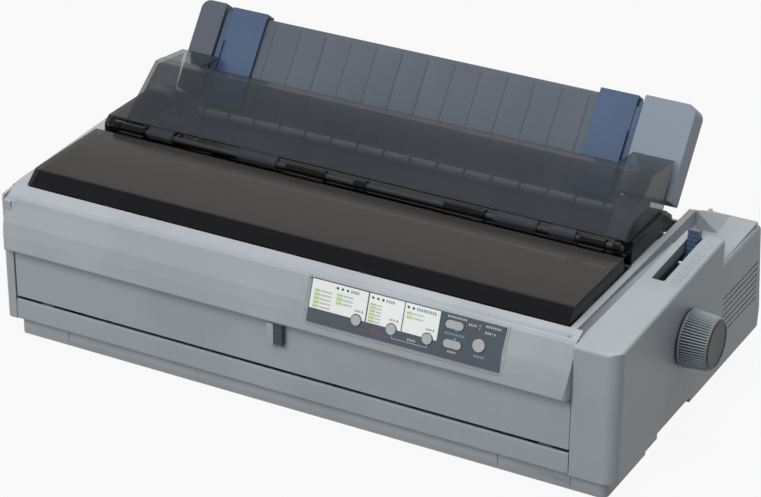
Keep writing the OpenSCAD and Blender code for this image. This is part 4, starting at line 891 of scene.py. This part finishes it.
def rows_tree(stud: Stud) -> bpy.types.NodeTree:
    """Build the tree that sets studs in rows and columns on a plane, from the first corner.

    Args:
        stud: shape of one stud.

    Returns:
        The tree.
    """
    tree, sizes = start_growth(f"rows_of_{stud.name.lower()}s", {
        "Columns": ("NodeSocketInt", 1), "Rows": ("NodeSocketInt", 1),
        "Column Step": ("NodeSocketVector", (0.01, 0, 0)), "Row Step": ("NodeSocketVector", (0, 0.01, 0)),
        "Stud Size": ("NodeSocketVector", (0.002, 0.002, 0.001)), "Finish": ("NodeSocketMaterial", None)})
    row = add_node(tree, "GeometryNodeMeshLine", {"Count": sizes.outputs["Columns"],
                                                  "Offset": sizes.outputs["Column Step"]})
    rise = add_node(tree, "GeometryNodeMeshLine", {"Count": sizes.outputs["Rows"],
                                                   "Offset": sizes.outputs["Row Step"]})
    field = add_node(tree, "GeometryNodeInstanceOnPoints", {"Points": rise.outputs[0], "Instance": row.outputs[0]})
    spots = add_node(tree, "GeometryNodeRealizeInstances", {"Geometry": field.outputs[0]})
    studs = add_node(tree, "GeometryNodeInstanceOnPoints", {
        "Points": spots.outputs[0], "Instance": stud_node(tree, stud, sizes.outputs["Stud Size"])})
    end_growth(tree, studs.outputs[0], sizes.outputs["Finish"])
    return tree


def path_tree(stud: Stud) -> bpy.types.NodeTree:
    """Build the tree that sets studs at even steps along the object's own curve, turned with it.

    Args:
        stud: shape of one stud.

    Returns:
        The tree.
    """
    tree, sizes = start_growth(f"path_of_{stud.name.lower()}s", {
        "Count": ("NodeSocketInt", 20), "Stud Size": ("NodeSocketVector", (0.002, 0.002, 0.001)),
        "Finish": ("NodeSocketMaterial", None)}, takes_curve=True)
    spots = add_node(tree, "GeometryNodeCurveToPoints", {"Curve": sizes.outputs["Path"],
                                                         "Count": sizes.outputs["Count"]}, mode="COUNT")
    studs = add_node(tree, "GeometryNodeInstanceOnPoints", {
        "Points": spots.outputs["Points"], "Instance": stud_node(tree, stud, sizes.outputs["Stud Size"]),
        "Rotation": spots.outputs["Rotation"]})
    end_growth(tree, studs.outputs[0], sizes.outputs["Finish"])
    return tree


def grow(name: str, base: bpy.types.ID, tree: bpy.types.NodeTree, sizes: Mapping[str, Any], place: Matrix,
         seat: Seat, finish: Finish) -> bpy.types.Object:
    """Run a tree on a base and keep its result as a plain piece.

    Args:
        name: name of the piece.
        base: mesh or curve data that the modifier sits on.
        tree: the Geometry Nodes tree.
        sizes: input name to value, lengths in metres.
        place: matrix in mm from the tree's own axes to the row frame.
        seat: its body and slot.
        finish: its finish.

    Returns:
        The new piece.
    """
    draft = linked(name + "_draft", base)
    growth = draft.modifiers.new("growth", "NODES")
    growth.node_group = tree
    sockets = {s.name: s.identifier for s in tree.interface.items_tree if s.in_out == "INPUT"}
    for title, value in {**sizes, "Finish": material_of(finish)}.items():
        growth[sockets[title]] = value
    data = baked_mesh(draft, name)
    data.transform(Matrix.Translation(place.translation * MM) @ place.to_3x3().to_4x4())
    shade(data)
    return settle(linked(name, data), seat, finish)


@dataclass(frozen=True)
class Field:
    """Studs in rows and columns, from the first one; lengths in mm."""

    stud: Stud
    size: Point
    step: float = 0.0           # from one column to the next
    columns: int = 1
    lines: int = 1
    rise: float = 0.0           # from one row to the next


TREES: dict[Stud, bpy.types.NodeTree] = {}


def rows(name: str, field: Field, place: Matrix, seat: Seat, finish: Finish) -> bpy.types.Object:
    """Set studs in rows and columns.

    Args:
        name: name of the piece.
        field: the studs, their counts and steps.
        place: matrix in mm to the first stud's centre.
        seat: its body and slot.
        finish: its finish.

    Returns:
        The new piece.
    """
    if field.stud not in TREES:
        TREES[field.stud] = rows_tree(field.stud)
    return grow(name, bpy.data.meshes.new(name + "_seed"), TREES[field.stud], {
        "Columns": field.columns, "Rows": field.lines, "Column Step": (field.step * MM, 0.0, 0.0),
        "Row Step": (0.0, field.rise * MM, 0.0), "Stud Size": tuple(side * MM for side in field.size)},
        place, seat, finish)


# ------------------------------------------------------------------ the printer

@dataclass
class Housing:
    """Grey mouldings, feet, screws and the embossed marks beside the lever slot."""

    mark_x: float = 281.5           # middle of the strip of marks
    mark_y: tuple[float, ...] = (-20.0, -7.0, 6.0, 19.0, 32.0, 45.0, 57.0)
    mark_height: float = 0.35
    mark_sunk: float = 0.2
    mark_tilt: float = 4.0          # degrees, of every second mark
    # width, height and middle of the four bars that frame one mark
    mark_bars: tuple[tuple[float, float, float, float], ...] = (
        (7.5, 0.8, 0, 4), (7.5, 0.8, 0, -4), (0.8, 8.6, 3.4, 0), (0.8, 8.6, -3.4, 0))
    mark_arrow: Outline = ((-1.6, -1.2), (1.6, -1.2), (0, 1.8))
    block_front: float = -154.7
    block_low: float = 143.0        # top of the block at its front
    block_rise: float = 8.8         # over its length
    block_length: float = 220.2
    # left, right, bottom and top of the pale face, then the place of its back and its thickness
    guide_face: tuple[float, float, float, float] = (-38.0, -31.0, 70.5, 91.5)
    guide_face_y: float = -160.7
    guide_face_depth: float = 0.5

    def build(self) -> None:
        """Dress the case and add its marks."""
        for node in ("upper_case", "right_housing"):
            fair(node, Finish.CASE)
        dress("connector_plate", Finish.CASE)
        mould(Finish.CASE, 0.8, "lower_case", "front_cover", "front_tray")
        mould(Finish.GRIP, 0.4, "tray_edge_guide")
        self.add_guide_face()
        mould(Finish.FOOT, 0.5, "feet")
        mould(Finish.STEEL, 0.3, "case_screws")
        self.add_marks()

    def add_marks(self) -> None:
        """Add plain embossed sheet and arrow marks along the lever slot."""
        parts = []
        for k, y in enumerate(self.mark_y):
            turn = at(0, y) @ Matrix.Rotation(math.radians(0 if k % 2 else self.mark_tilt), 4, "Z")
            parts += [moved(prism(rounded(wide, tall, 0.3), -self.mark_sunk, self.mark_height, 0.15), turn @ at(x, up))
                      for wide, tall, x, up in self.mark_bars]
            parts.append(moved(prism(self.mark_arrow, -self.mark_sunk, self.mark_height, 0.1), turn))
        slope = self.block_rise / self.block_length
        place = at(self.mark_x, 0, self.block_low - self.block_front * slope) \
            @ Matrix.Rotation(math.atan(slope), 4, "X")
        add_piece("lever_marks", merge(parts), place, Seat("case", "case_plastic"), Finish.CASE)

    def add_guide_face(self) -> None:
        """Add the smooth pale face beside the ridges of the tray's edge guide."""
        x0, x1, z0, z1 = self.guide_face
        plate = prism(rounded(x1 - x0, z1 - z0, 0.8), 0, self.guide_face_depth, 0.2)
        add_piece("tray_guide_face", plate, plane(((x0 + x1) / 2, self.guide_face_y, (z0 + z1) / 2), 0.0),
                  seat_of("tray_edge_guide"), Finish.CASE)


@dataclass(frozen=True)
class Mark:
    """One kind of printed mark: its shape, its size and the step to the next, in mm."""

    stud: Stud
    wide: float
    tall: float
    step: float
    ink: float = 0.1            # thickness, half of it sunk in the film


class Print(Enum):
    """The marks of the panel, which stand for its lettering."""

    HEADING_DOT = Mark(Stud.PIP, 2.3, 2.3, 4.85)
    TITLE = Mark(Stud.BAR, 1.3, 2.5, 2.1)
    DOT = Mark(Stud.PIP, 1.0, 1.0, 1.75)
    WORD = Mark(Stud.BAR, 0.7, 1.35, 1.35)
    KEY_WORD = Mark(Stud.BAR, 0.95, 1.7, 1.5)
    KEY_MARK = Mark(Stud.BAR, 0.9, 1.9, 1.0)
    PANEL_WORD = Mark(Stud.BAR, 1.1, 1.9, 2.05)


@dataclass
class ControlPanel:
    """Dark key panel in the fascia: label films with their rows of marks, keys, lamps and bracket lines."""

    origin: Point = (0.0, -164.5, 96.0)
    lean: float = math.degrees(math.atan2(16, 47))
    film_top: float = 2.93          # just over the face of the label films, from the fascia's plane
    panel_top: float = 2.6
    heading_y: float = 43.5
    # x of the first dot, count of dots, strokes of the title
    headings: tuple[tuple[float, int, int], ...] = ((29.1, 3, 4), (63.2, 3, 4), (97.1, 2, 9))
    # x, y of the first dot, rows, row step, strokes of a word
    columns: tuple[tuple[float, float, int, float, int], ...] = (
        (8.6, 37.7, 5, 3.45, 8), (30.3, 38.1, 3, 3.55, 7), (62.3, 37.8, 6, 2.86, 4), (97.3, 38.8, 2, 3.7, 7))
    dots: int = 3                   # in one row
    wash_wide: float = 6.0
    wash_margin: float = 3.0        # height of the wash over that of its rows
    wash_x: float = 1.8             # from the first dot to the middle of the wash
    word_x: float = 5.9             # from the first dot to the first stroke
    key_words: tuple[tuple[float, float], ...] = ((50.6, 28.7), (84.3, 28.9), (118.4, 29.0))
    key_strokes: int = 4
    # x, y of the middle, strokes and ink of each word on the panel
    words: tuple[tuple[float, float, int, Finish], ...] = (
        (142.5, 45.0, 9, Finish.INK_PALE), (143.0, 30.5, 10, Finish.INK_CYAN), (142.0, 15.6, 4, Finish.INK_PALE),
        (157.0, 42.2, 4, Finish.INK_PALE), (176.0, 44.3, 7, Finish.INK_PALE), (174.0, 38.9, 5, Finish.INK_PALE),
        (167.0, 17.6, 5, Finish.INK_CYAN), (68.2, 16.2, 4, Finish.INK_RED), (104.0, 16.2, 4, Finish.INK_PALE))
    half_stroke: float = 1.02       # half a word's step
    # name, left and right end and ink of the brackets that join two keys
    brackets: tuple[tuple[str, float, float, Finish], ...] = (
        ("red", 51.0, 84.2, Finish.INK_RED), ("pale", 85.6, 119.0, Finish.INK_PALE))
    bracket_y: float = 13.6
    bracket_line: float = 0.4
    bracket_rise: float = 2.4
    diamond: Outline = ((-1.3, 0), (0, -1.1), (1.3, 0), (0, 1.1))
    diamond_x: float = 143.2
    diamond_y: tuple[float, ...] = (34.0, 26.8)
    arrow_x: float = 163.8
    # outline and place up the slope of the arrows up and down
    arrows: tuple[tuple[Outline, float], ...] = (
        (((-0.8, 0), (0.8, 0), (0, 1.9)), 42.6), (((0.8, 0), (-0.8, 0), (0, -1.9)), 41.2))
    line_low: float = -0.05         # underside and top of the lines over the panel's face
    line_high: float = 0.06
    # left, right, bottom and top of the panel's opening
    opening: tuple[float, float, float, float] = (3.5, 187.0, 9.0, 49.0)
    opening_corner: float = 1.5
    # distance from the opening and width of the fine lines round it
    rims: tuple[tuple[float, float], ...] = ((1.4, 0.3), (3.2, 0.4))
    rim_folds: tuple[float, ...] = (49.0, 40.0, 32.0, 25.4, 19.0, 12.7)
    rim_stops: tuple[float, ...] = (60.0, 120.0)
    rim_height: float = 0.05
    # up-slope place and height of the skin's folds
    skin_line: tuple[tuple[float, float], ...] = ((0.0, 0.0), (12.7, 1.6), (25.4, 2.43), (47.5, 0.66), (52.0, 0.3))
    seat: Seat = Seat("case", "panel_plastic")

    def build(self) -> None:
        """Dress the panel and print its legends."""
        mould(Finish.PANEL, 0.5, "control_panel")
        mould(Finish.LABEL, 0.1, "panel_labels")
        mould(Finish.LENS, 0.2, "panel_lights")
        mould(Finish.KEY, 0.7, "button_1", "button_2", "button_3", "oval_button_1", "oval_button_2",
              "round_button")
        dress("panel_board", Finish.BOARD)
        self.print_films()
        self.print_panel()
        self.add_rim()

    def on(self, x: float, y: float, height: float) -> Matrix:
        """Give the place of a mark: mm along the panel, up its slope and over the fascia's plane."""
        return plane(self.origin, self.lean) @ at(x, y, height)

    def print_marks(self, name: str, kind: Print, count: int, spot: Point, finish: Finish, lines: int = 1,
                    drop: float = 0.0, seat: Seat | None = None) -> None:
        """Print marks of one kind in a row, or in rows below each other.

        Args:
            name: name of the piece.
            kind: the kind of mark.
            count: marks in one row.
            spot: place of the first mark, as on() takes it.
            finish: the ink.
            lines: count of rows.
            drop: mm from one row down to the next.
            seat: body and slot, where they aren't the panel's.
        """
        mark = kind.value
        rows(name, Field(mark.stud, (mark.wide, mark.tall, mark.ink), mark.step, count, lines, -drop),
             self.on(*spot), seat or self.seat, finish)

    def print_films(self) -> None:
        """Print the three films: heading dots, rows of small dots on a green wash, and short strokes."""
        up, pitch = self.film_top, Print.HEADING_DOT.value.step
        for k, (x, count, strokes) in enumerate(self.headings, 1):
            self.print_marks(f"film_{k}_heading", Print.HEADING_DOT, count, (x, self.heading_y, up), Finish.INK_DARK)
            self.print_marks(f"film_{k}_title", Print.TITLE, strokes, (x + pitch * count - 1.0, self.heading_y, up),
                             Finish.INK_GREY)
        for k, (x, y, lines, step, strokes) in enumerate(self.columns, 1):
            deep = step * (lines - 1)
            wash = prism(rounded(self.wash_wide, deep + self.wash_margin, 0.6), -0.05, 0.02)
            add_piece(f"film_wash_{k}", wash, self.on(x + self.wash_x, y - deep / 2, up), self.seat,
                      Finish.INK_GREEN)
            self.print_marks(f"film_dots_{k}", Print.DOT, self.dots, (x, y, up + 0.02), Finish.INK_OLIVE, lines, step,
                             Seat("case", "lamp_lens"))
            self.print_marks(f"film_words_{k}", Print.WORD, strokes, (x + self.word_x, y, up), Finish.INK_GREY,
                             lines, step)
        for k, (x, y) in enumerate(self.key_words, 1):
            self.print_marks(f"film_key_word_{k}", Print.KEY_WORD, self.key_strokes, (x - 2.2, y, up),
                             Finish.INK_GREY)
            self.print_marks(f"film_key_mark_{k}", Print.KEY_MARK, 1, (x + 4.6, y, up), Finish.INK_DARK)

    def draw(self, name: str, shapes: Iterable[tuple[Outline, float, float]], finish: Finish) -> None:
        """Print flat shapes on the panel as one piece.

        Args:
            name: name of the piece.
            shapes: outline, x and y of each.
            finish: the ink.
        """
        parts = [moved(prism(outline, self.line_low, self.line_high), at(x, y)) for outline, x, y in shapes]
        add_piece(name, merge(parts), self.on(0, 0, self.panel_top), self.seat, finish)

    def print_panel(self) -> None:
        """Print the panel: short strokes by the keys, brackets that join them, diamonds and arrows."""
        for k, (x, y, strokes, ink) in enumerate(self.words, 1):
            self.print_marks(f"panel_word_{k}", Print.PANEL_WORD, strokes,
                             (x - self.half_stroke * (strokes - 1), y, self.panel_top), ink)
        line, rise, y = self.bracket_line, self.bracket_rise, self.bracket_y
        for name, x0, x1, ink in self.brackets:
            bars = ((x1 - x0, line, (x0 + x1) / 2, y), (line, rise, x0 + line / 2, y + rise / 2),
                    (line, rise, x1 - line / 2, y + rise / 2))
            self.draw("panel_bracket_" + name, [(rounded(w, h, 0.15, 2), x, up) for w, h, x, up in bars], ink)
        self.draw("panel_diamonds", [(self.diamond, self.diamond_x, up) for up in self.diamond_y], Finish.INK_CYAN)
        self.draw("panel_arrows", [(arrow, self.arrow_x, up) for arrow, up in self.arrows], Finish.INK_YELLOW)

    def skin(self, y: float) -> float:
        """Give the height of the bulging skin over the fascia's plane.

        Args:
            y: place up the slope in mm.

        Returns:
            The height in mm.
        """
        for (y0, h0), (y1, h1) in zip(self.skin_line, self.skin_line[1:]):
            if y <= y1:
                return h0 + (h1 - h0) * (y - y0) / (y1 - y0)
        return self.skin_line[-1][1]

    def rim_path(self, out: float) -> list[tuple[float, float]]:
        """Give the path of a line round the opening, open along its top.

        Args:
            out: its distance from the opening in mm.

        Returns:
            Its points (x, y) on the fascia, from the left top corner to the right one.
        """
        left, right, low = self.opening[0] - out, self.opening[1] + out, self.opening[2] - out
        turn = self.opening_corner + out
        ends = [[(x, low + turn), (x + way * turn * 0.3, low + turn * 0.3), (x + way * turn, low)]
                for x, way in ((left, 1), (right, -1))]
        return [(left, y) for y in self.rim_folds] + ends[0] + [(x, low) for x in self.rim_stops] \
            + ends[1][::-1] + [(right, y) for y in self.rim_folds[::-1]]

    def add_rim(self) -> None:
        """Lay fine lines of painted shadow in the skin round the panel."""
        for k, (out, wide) in enumerate(self.rims, 1):
            path = self.rim_path(out)
            mesh = bmesh.new()
            edges = []
            for near, spot, far in zip([path[0]] + path, path, path[1:] + [path[-1]]):
                dx, dy = far[0] - near[0], far[1] - near[1]
                size = math.hypot(dx, dy)
                side = (-dy / size * wide / 2, dx / size * wide / 2)
                edges.append([mesh.verts.new((spot[0] + way * side[0], spot[1] + way * side[1],
                                              self.skin(spot[1]) + self.rim_height)) for way in (1, -1)])
            for first, second in zip(edges, edges[1:]):
                mesh.faces.new((first[0], first[1], second[1], second[0]))
            add_piece(f"panel_rim_{k}", mesh, self.on(0, 0, 0), self.seat, Finish.RIM)


@dataclass
class Covers:
    """Smoked covers on their hinge rod."""

    edge: float = 0.8

    def build(self) -> None:
        """Dress the covers and the rod."""
        mould(Finish.SMOKE, self.edge, "cover_frame", "front_door")
        mould(Finish.CLEAR_SMOKE, self.edge, "flap")
        mould(Finish.BLACK, 0.3, "hinge_rod")


@dataclass
class PaperGuide:
    """Tilting paper guide with its two blue edge guides."""

    hinge: Point = (0.0, 52.5, 146.0)
    lean: float = 36.7
    roll_from: float = GUIDE_LEFT
    roll_to: float = GUIDE_RIGHT
    roll_radius: float = 4.7
    roll_facet: int = 20            # degrees
    roll_up: float = 15.0
    roll_in: float = -6.5
    end_gap: float = 1.0
    ribs: int = 16
    first_rib: float = 8.0          # from the roll's left end
    rib_span: float = 18.0          # by which the row of ribs is shorter than the roll
    rib_left: float = 2.2           # kept clear to the right and to the left of a rib
    rib_right: float = 0.6

    def build(self) -> None:
        """Dress the guide and its sliders."""
        mould(Finish.GUIDE, 1.0, "paper_guide")
        mould(Finish.BLUE, 0.6, "edge_guide_left", "edge_guide_right")
        self.add_roll()

    def add_roll(self) -> None:
        """Lay the pale sheath of the roll at the guide's foot, parted by the ribs that cross it."""
        first, pitch = self.roll_from + self.first_rib, \
            (self.roll_to - self.roll_from - self.rib_span) / (self.ribs - 1)
        ends = [self.roll_from + self.end_gap] + [first + k * pitch for k in range(self.ribs)] \
            + [self.roll_to - self.end_gap]
        outline = [(self.roll_radius * math.cos(math.radians(a)), self.roll_radius * math.sin(math.radians(a)))
                   for a in range(0, 360, self.roll_facet)]
        along = Matrix.Rotation(math.radians(90), 4, "Y")
        parts = [moved(prism(outline, low + self.rib_left, high - self.rib_right), along)
                 for low, high in zip(ends, ends[1:])]
        add_piece("guide_roll_sheath", merge(parts),
                  plane(self.hinge, self.lean) @ at(0, self.roll_up, self.roll_in),
                  seat_of("paper_guide"), Finish.ROLL)


@dataclass
class Mechanism:
    """Frames, carriage, belt, motors and gears."""

    belt_y: float = -104.5
    belt_z: float = 52.0
    belt_left: float = -288.0
    belt_right: float = 221.0
    belt_radius: float = 8.0
    belt_teeth: int = 520
    belt_tooth: Point = (0.6, 5.8, 1.1)     # along the belt, across it and through it
    belt_facet: int = 15                    # degrees of the loop's ends

    def build(self) -> None:
        """Dress the works and cut the belt's teeth."""
        for node in ("side_frame_left", "side_frame_right", "guide_rail"):
            dress(node, Finish.STEEL)
        dress("paper_pan", Finish.PAINTED)
        mould(Finish.BRIGHT, 0.3, "carriage_shaft", "platen_shaft", "tractor_shafts")
        mould(Finish.STEEL, 0.3, "bail_arms", "drive_pulley", "idler_pulley")
        mould(Finish.DARK, 0.5, "carriage", "tractor_left", "tractor_right")
        mould(Finish.MOTOR, 0.5, "print_head", "carriage_motor", "feed_motor")
        mould(Finish.BLACK, 0.6, "ribbon_cartridge")
        mould(Finish.RUBBER, 0.4, "platen", "bail_rollers")
        mould(Finish.NYLON, 0.15, "platen_gear", "idler_gear")
        dress("motor_pinion", Finish.BRASS)
        dress("timing_belt", Finish.BLACK)
        mould(Finish.LEVER, 0.5, "release_lever", "gap_lever")
        self.add_belt_teeth()

    def add_belt_teeth(self) -> None:
        """Set the belt's teeth along its loop."""
        loop = bpy.data.curves.new("belt_loop", "CURVE")
        loop.dimensions = "3D"
        spline = loop.splines.new("POLY")
        points = []
        for x, first in ((self.belt_right, -90), (self.belt_left, 90)):
            points += [(x + self.belt_radius * math.cos(math.radians(first + a)),
                        self.belt_z + self.belt_radius * math.sin(math.radians(first + a)))
                       for a in range(0, 181, self.belt_facet)]
        spline.points.add(len(points) - 1)
        for spot, (x, z) in zip(spline.points, points):
            spot.co = (x * MM, self.belt_y * MM, z * MM, 1)
        spline.use_cyclic_u = True
        grow("belt_teeth", loop, path_tree(Stud.BAR), {
            "Count": self.belt_teeth, "Stud Size": tuple(side * MM for side in self.belt_tooth)},
            Matrix.Identity(4), Seat("case", SLOT_OF["timing_belt"]), Finish.BLACK)


@dataclass
class PlatenKnob:
    """Fluted platen knob, turned about the platen's axis."""

    flutes: int = 60
    steps: int = 8                  # points in one flute
    depth: float = FLUTE_DEPTH
    narrowing: float = 1.1          # above 1, the grooves are narrower than the ridges
    axis_y: float = PLATEN_Y
    axis_z: float = PLATEN_Z
    base_x: float = BLOCK_RIGHT
    length: float = 28.9
    radius: float = KNOB_RADIUS

    def profile(self) -> list[tuple[float, float, float]]:
        """Give the knob's half section: distance from the case, radius and share of the flutes' depth."""
        return [(0.8, 9.0, 0), (0.8, self.radius - 2.6, 0), (1.1, self.radius - 1.2, 0),
                (2.4, self.radius - 0.2, 0), (3.2, self.radius - 0.15, 0), (4.0, self.radius - 0.2, 1),
                (self.length - 5, self.radius - 2.1, 1), (self.length - 3.2, self.radius - 2.5, 0.8),
                (self.length - 1.8, self.radius - 3.0, 0), (self.length - 0.6, self.radius - 3.9, 0),
                (self.length - 0.05, self.radius - 5.2, 0), (self.length - 0.1, self.radius - 6.2, 0),
                (self.length - 0.6, self.radius - 6.8, 0), (self.length - 0.9, 6.0, 0)]

    def build(self) -> None:
        """Loft the fluted skirt and close it with a dished face."""
        mesh = bmesh.new()
        rings = []
        for x, radius, cut in self.profile():
            ring = []
            for k in range(self.flutes * self.steps):
                angle = 2 * math.pi * k / (self.flutes * self.steps)
                wave = 0.5 - 0.5 * math.cos(self.flutes * angle)
                reach = radius - cut * self.depth * wave ** self.narrowing
                ring.append(mesh.verts.new((self.base_x + x, *self.spoke(reach, angle))))
            rings.append(ring)
        for near, far in zip(rings, rings[1:]):
            for k, corner in enumerate(near):
                after = (k + 1) % len(near)
                mesh.faces.new((corner, near[after], far[after], far[k]))
        mesh.faces.new(reversed(rings[0]))
        mesh.faces.new(rings[-1])
        bmesh.ops.recalc_face_normals(mesh, faces=mesh.faces)
        piece = add_piece("platen_knob", mesh, Matrix.Identity(4), seat_of("knob"), Finish.KNOB)
        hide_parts("knob")

    def spoke(self, radius: float, angle: float) -> tuple[float, float]:
        """Give the (y, z) of a point at that radius and angle about the axis."""
        return self.axis_y + radius * math.cos(angle), self.axis_z + radius * math.sin(angle)


@dataclass
class Electrics:
    """Boards, supply and the sockets in the rear wall."""

    port: Point = (15.0, 152.5, 44.25)          # middle of the wide socket's floor
    port_tongue: Point = (60.0, 3.4, 6.0)       # width, thickness and length
    small_port: Point = (73.0, 152.5, 43.0)
    small_tongue: Point = (5.8, 3.2, 6.0)
    contacts: int = 18
    pitch: float = 3.2
    contact: Point = (1.2, 0.5, 5.4)
    contact_y: float = 2.8                      # from the socket's floor to a contact's middle

    def build(self) -> None:
        """Dress the electrics and set the sockets' contacts."""
        dress("logic_board", Finish.BOARD)
        dress("power_supply", Finish.STEEL)
        mould(Finish.BLACK, 0.4, "power_inlet")
        mould(Finish.BLACK, 0.6, "power_switch")
        mould(Finish.TIN, 0.3, "data_connectors")
        self.add_tongues()

    def add_tongues(self) -> None:
        """Set the dark tongue in each data socket, with a row of contacts above and below the wide one."""
        outward = Matrix.Rotation(math.radians(-90), 4, "X")
        for name, spot, (wide, thick, deep) in (("wide_port_tongue", self.port, self.port_tongue),
                                                ("small_port_tongue", self.small_port, self.small_tongue)):
            add_piece(name, prism(rounded(wide, thick, 0.6), 0, deep, 0.2), Matrix.Translation(spot) @ outward,
                      Seat("case", SLOT_OF["power_inlet"]), Finish.BLACK)
        x, y, z = self.port
        half = self.port_tongue[1] / 2
        first = (x - self.pitch * (self.contacts - 1) / 2, y + self.contact_y, z + half)
        rows("port_contacts", Field(Stud.BAR, self.contact, self.pitch, self.contacts, 2, 2 * half),
             Matrix.Translation(first) @ outward, Seat("case", SLOT_OF["data_connectors"]), Finish.TIN)


@dataclass(frozen=True)
class Softbox:
    """A square lamp that looks at the printer."""

    name: str
    spot: Point
    side: float                 # mm
    power: float                # watts
    shines: bool                # whether polished surfaces mirror it


@dataclass
class Studio:
    """Pale floor and backdrop, soft lamps and the camera."""

    lamps: tuple[Softbox, ...] = (Softbox("key_softbox", (-350, -2150, 2000), 1500, 49.0, False),
                                  Softbox("top_softbox", (200, 300, 2600), 1800, 36.0, True))
    aim: Point = (0, 0, 100)
    fill: float = 0.2               # light of the room on the printer
    floor_colour: str = "#8A8C8E"
    floor_glow: float = 0.93        # share of white in the floor that the camera sees
    floor_half: float = 6000.0
    camera_at: Point = (1041.2, -1937.0, 1236.0)
    azimuth: float = 28.57
    elevation: float = 27.33
    roll: float = -0.27
    lens: float = 130.0
    sensor: float = 36.0

    def build(self) -> None:
        """Set the whole studio."""
        scene = bpy.context.scene
        scene.view_settings.view_transform = "Standard"
        self.set_world(scene)
        self.set_floor()
        for softbox in self.lamps:
            self.add_lamp(softbox)
        self.set_camera(scene)

    @staticmethod
    def is_seen(tree: bpy.types.NodeTree) -> Socket:
        """Give 1 for the rays that see the background: camera, glossy and transmitted ones.

        Args:
            tree: the tree that takes the nodes.

        Returns:
            The socket that gives 1 or 0.
        """
        rays = add_node(tree, "ShaderNodeLightPath")
        first = add_node(tree, "ShaderNodeMath", {0: rays.outputs["Is Camera Ray"],
                                                  1: rays.outputs["Is Glossy Ray"]}, operation="MAXIMUM")
        return add_node(tree, "ShaderNodeMath", {0: first.outputs[0], 1: rays.outputs["Is Transmission Ray"]},
                        operation="MAXIMUM").outputs[0]

    def set_world(self, scene: bpy.types.Scene) -> None:
        """Make a white room that lights the printer at a plain level.

        Args:
            scene: the scene that takes it.
        """
        world = bpy.data.worlds.new("white_room")
        scene.world = world
        tree = empty_tree(world)
        fill = add_node(tree, "ShaderNodeBackground", {"Color": (1, 1, 1, 1), "Strength": self.fill})
        seen = add_node(tree, "ShaderNodeBackground", {"Color": (1, 1, 1, 1), "Strength": 1.0})
        mix = add_node(tree, "ShaderNodeMixShader", {0: self.is_seen(tree), 1: fill.outputs[0],
                                                     2: seen.outputs[0]})
        add_node(tree, "ShaderNodeOutputWorld", {"Surface": mix.outputs[0]})

    def set_floor(self) -> None:
        """Lay the pale floor under the feet; the camera sees it as almost white, with the shadow kept."""
        material = bpy.data.materials.new("pale_floor")
        tree = empty_tree(material)
        sheet = add_node(tree, "ShaderNodeBsdfDiffuse", {"Color": linear(self.floor_colour)})
        light = add_node(tree, "ShaderNodeEmission", {"Color": (1, 1, 1, 1), "Strength": 1.0})
        part = add_node(tree, "ShaderNodeMath", {0: self.is_seen(tree), 1: self.floor_glow}, operation="MULTIPLY")
        close_material(tree, add_node(tree, "ShaderNodeMixShader", {0: part.outputs[0], 1: sheet.outputs[0],
                                                                    2: light.outputs[0]}))
        mesh = bmesh.new()
        bmesh.ops.create_grid(mesh, x_segments=1, y_segments=1, size=self.floor_half * MM)
        data = to_data(mesh, "floor")
        data.materials.append(material)
        floor = linked("floor", data)

    def add_lamp(self, softbox: Softbox) -> None:
        """Hang a softbox.

        Args:
            softbox: its place, size and power.
        """
        light = bpy.data.lights.new(softbox.name, "AREA")
        light.shape, light.size, light.energy = "SQUARE", softbox.side * MM, softbox.power
        lamp = linked(softbox.name, light)
        lamp.location = Vector(softbox.spot) * MM
        lamp.visible_glossy = softbox.shines
        lamp.rotation_euler = (Vector(self.aim) * MM - lamp.location).to_track_quat("-Z", "Y").to_euler()

    def set_camera(self, scene: bpy.types.Scene) -> None:
        """Stand the camera at its place, with its turn given by azimuth, elevation and roll.

        Args:
            scene: the scene that looks through it.
        """
        view = bpy.data.cameras.new("camera")
        view.lens, view.sensor_width, view.sensor_fit = self.lens, self.sensor, "HORIZONTAL"
        view.clip_start, view.clip_end = 0.05, 50
        a, e, c = (math.radians(v) for v in (self.azimuth, self.elevation, self.roll))
        back = Vector((math.sin(a) * math.cos(e), -math.cos(a) * math.cos(e), math.sin(e)))
        right = (-back).cross(Vector((0, 0, 1))).normalized()
        down = (-back).cross(right)
        side = math.cos(c) * right + math.sin(c) * down
        up = -(-math.sin(c) * right + math.cos(c) * down)
        camera = linked("camera", view)
        camera.matrix_world = Matrix.Translation(Vector(self.camera_at) * MM) @ Matrix(
            (side, up, back)).transposed().to_4x4()
        scene.camera = camera


def main() -> None:
    """Build every class in order."""
    logging.basicConfig(level=logging.INFO, format="%(name)s: %(message)s")
    for assembly in (Studio(), Housing(), ControlPanel(), Covers(), PaperGuide(), Mechanism(), PlatenKnob(),
                     Electrics()):
        LOG.info("building %s", type(assembly).__name__)
        assembly.build()


if __name__ == "__main__":
    main()
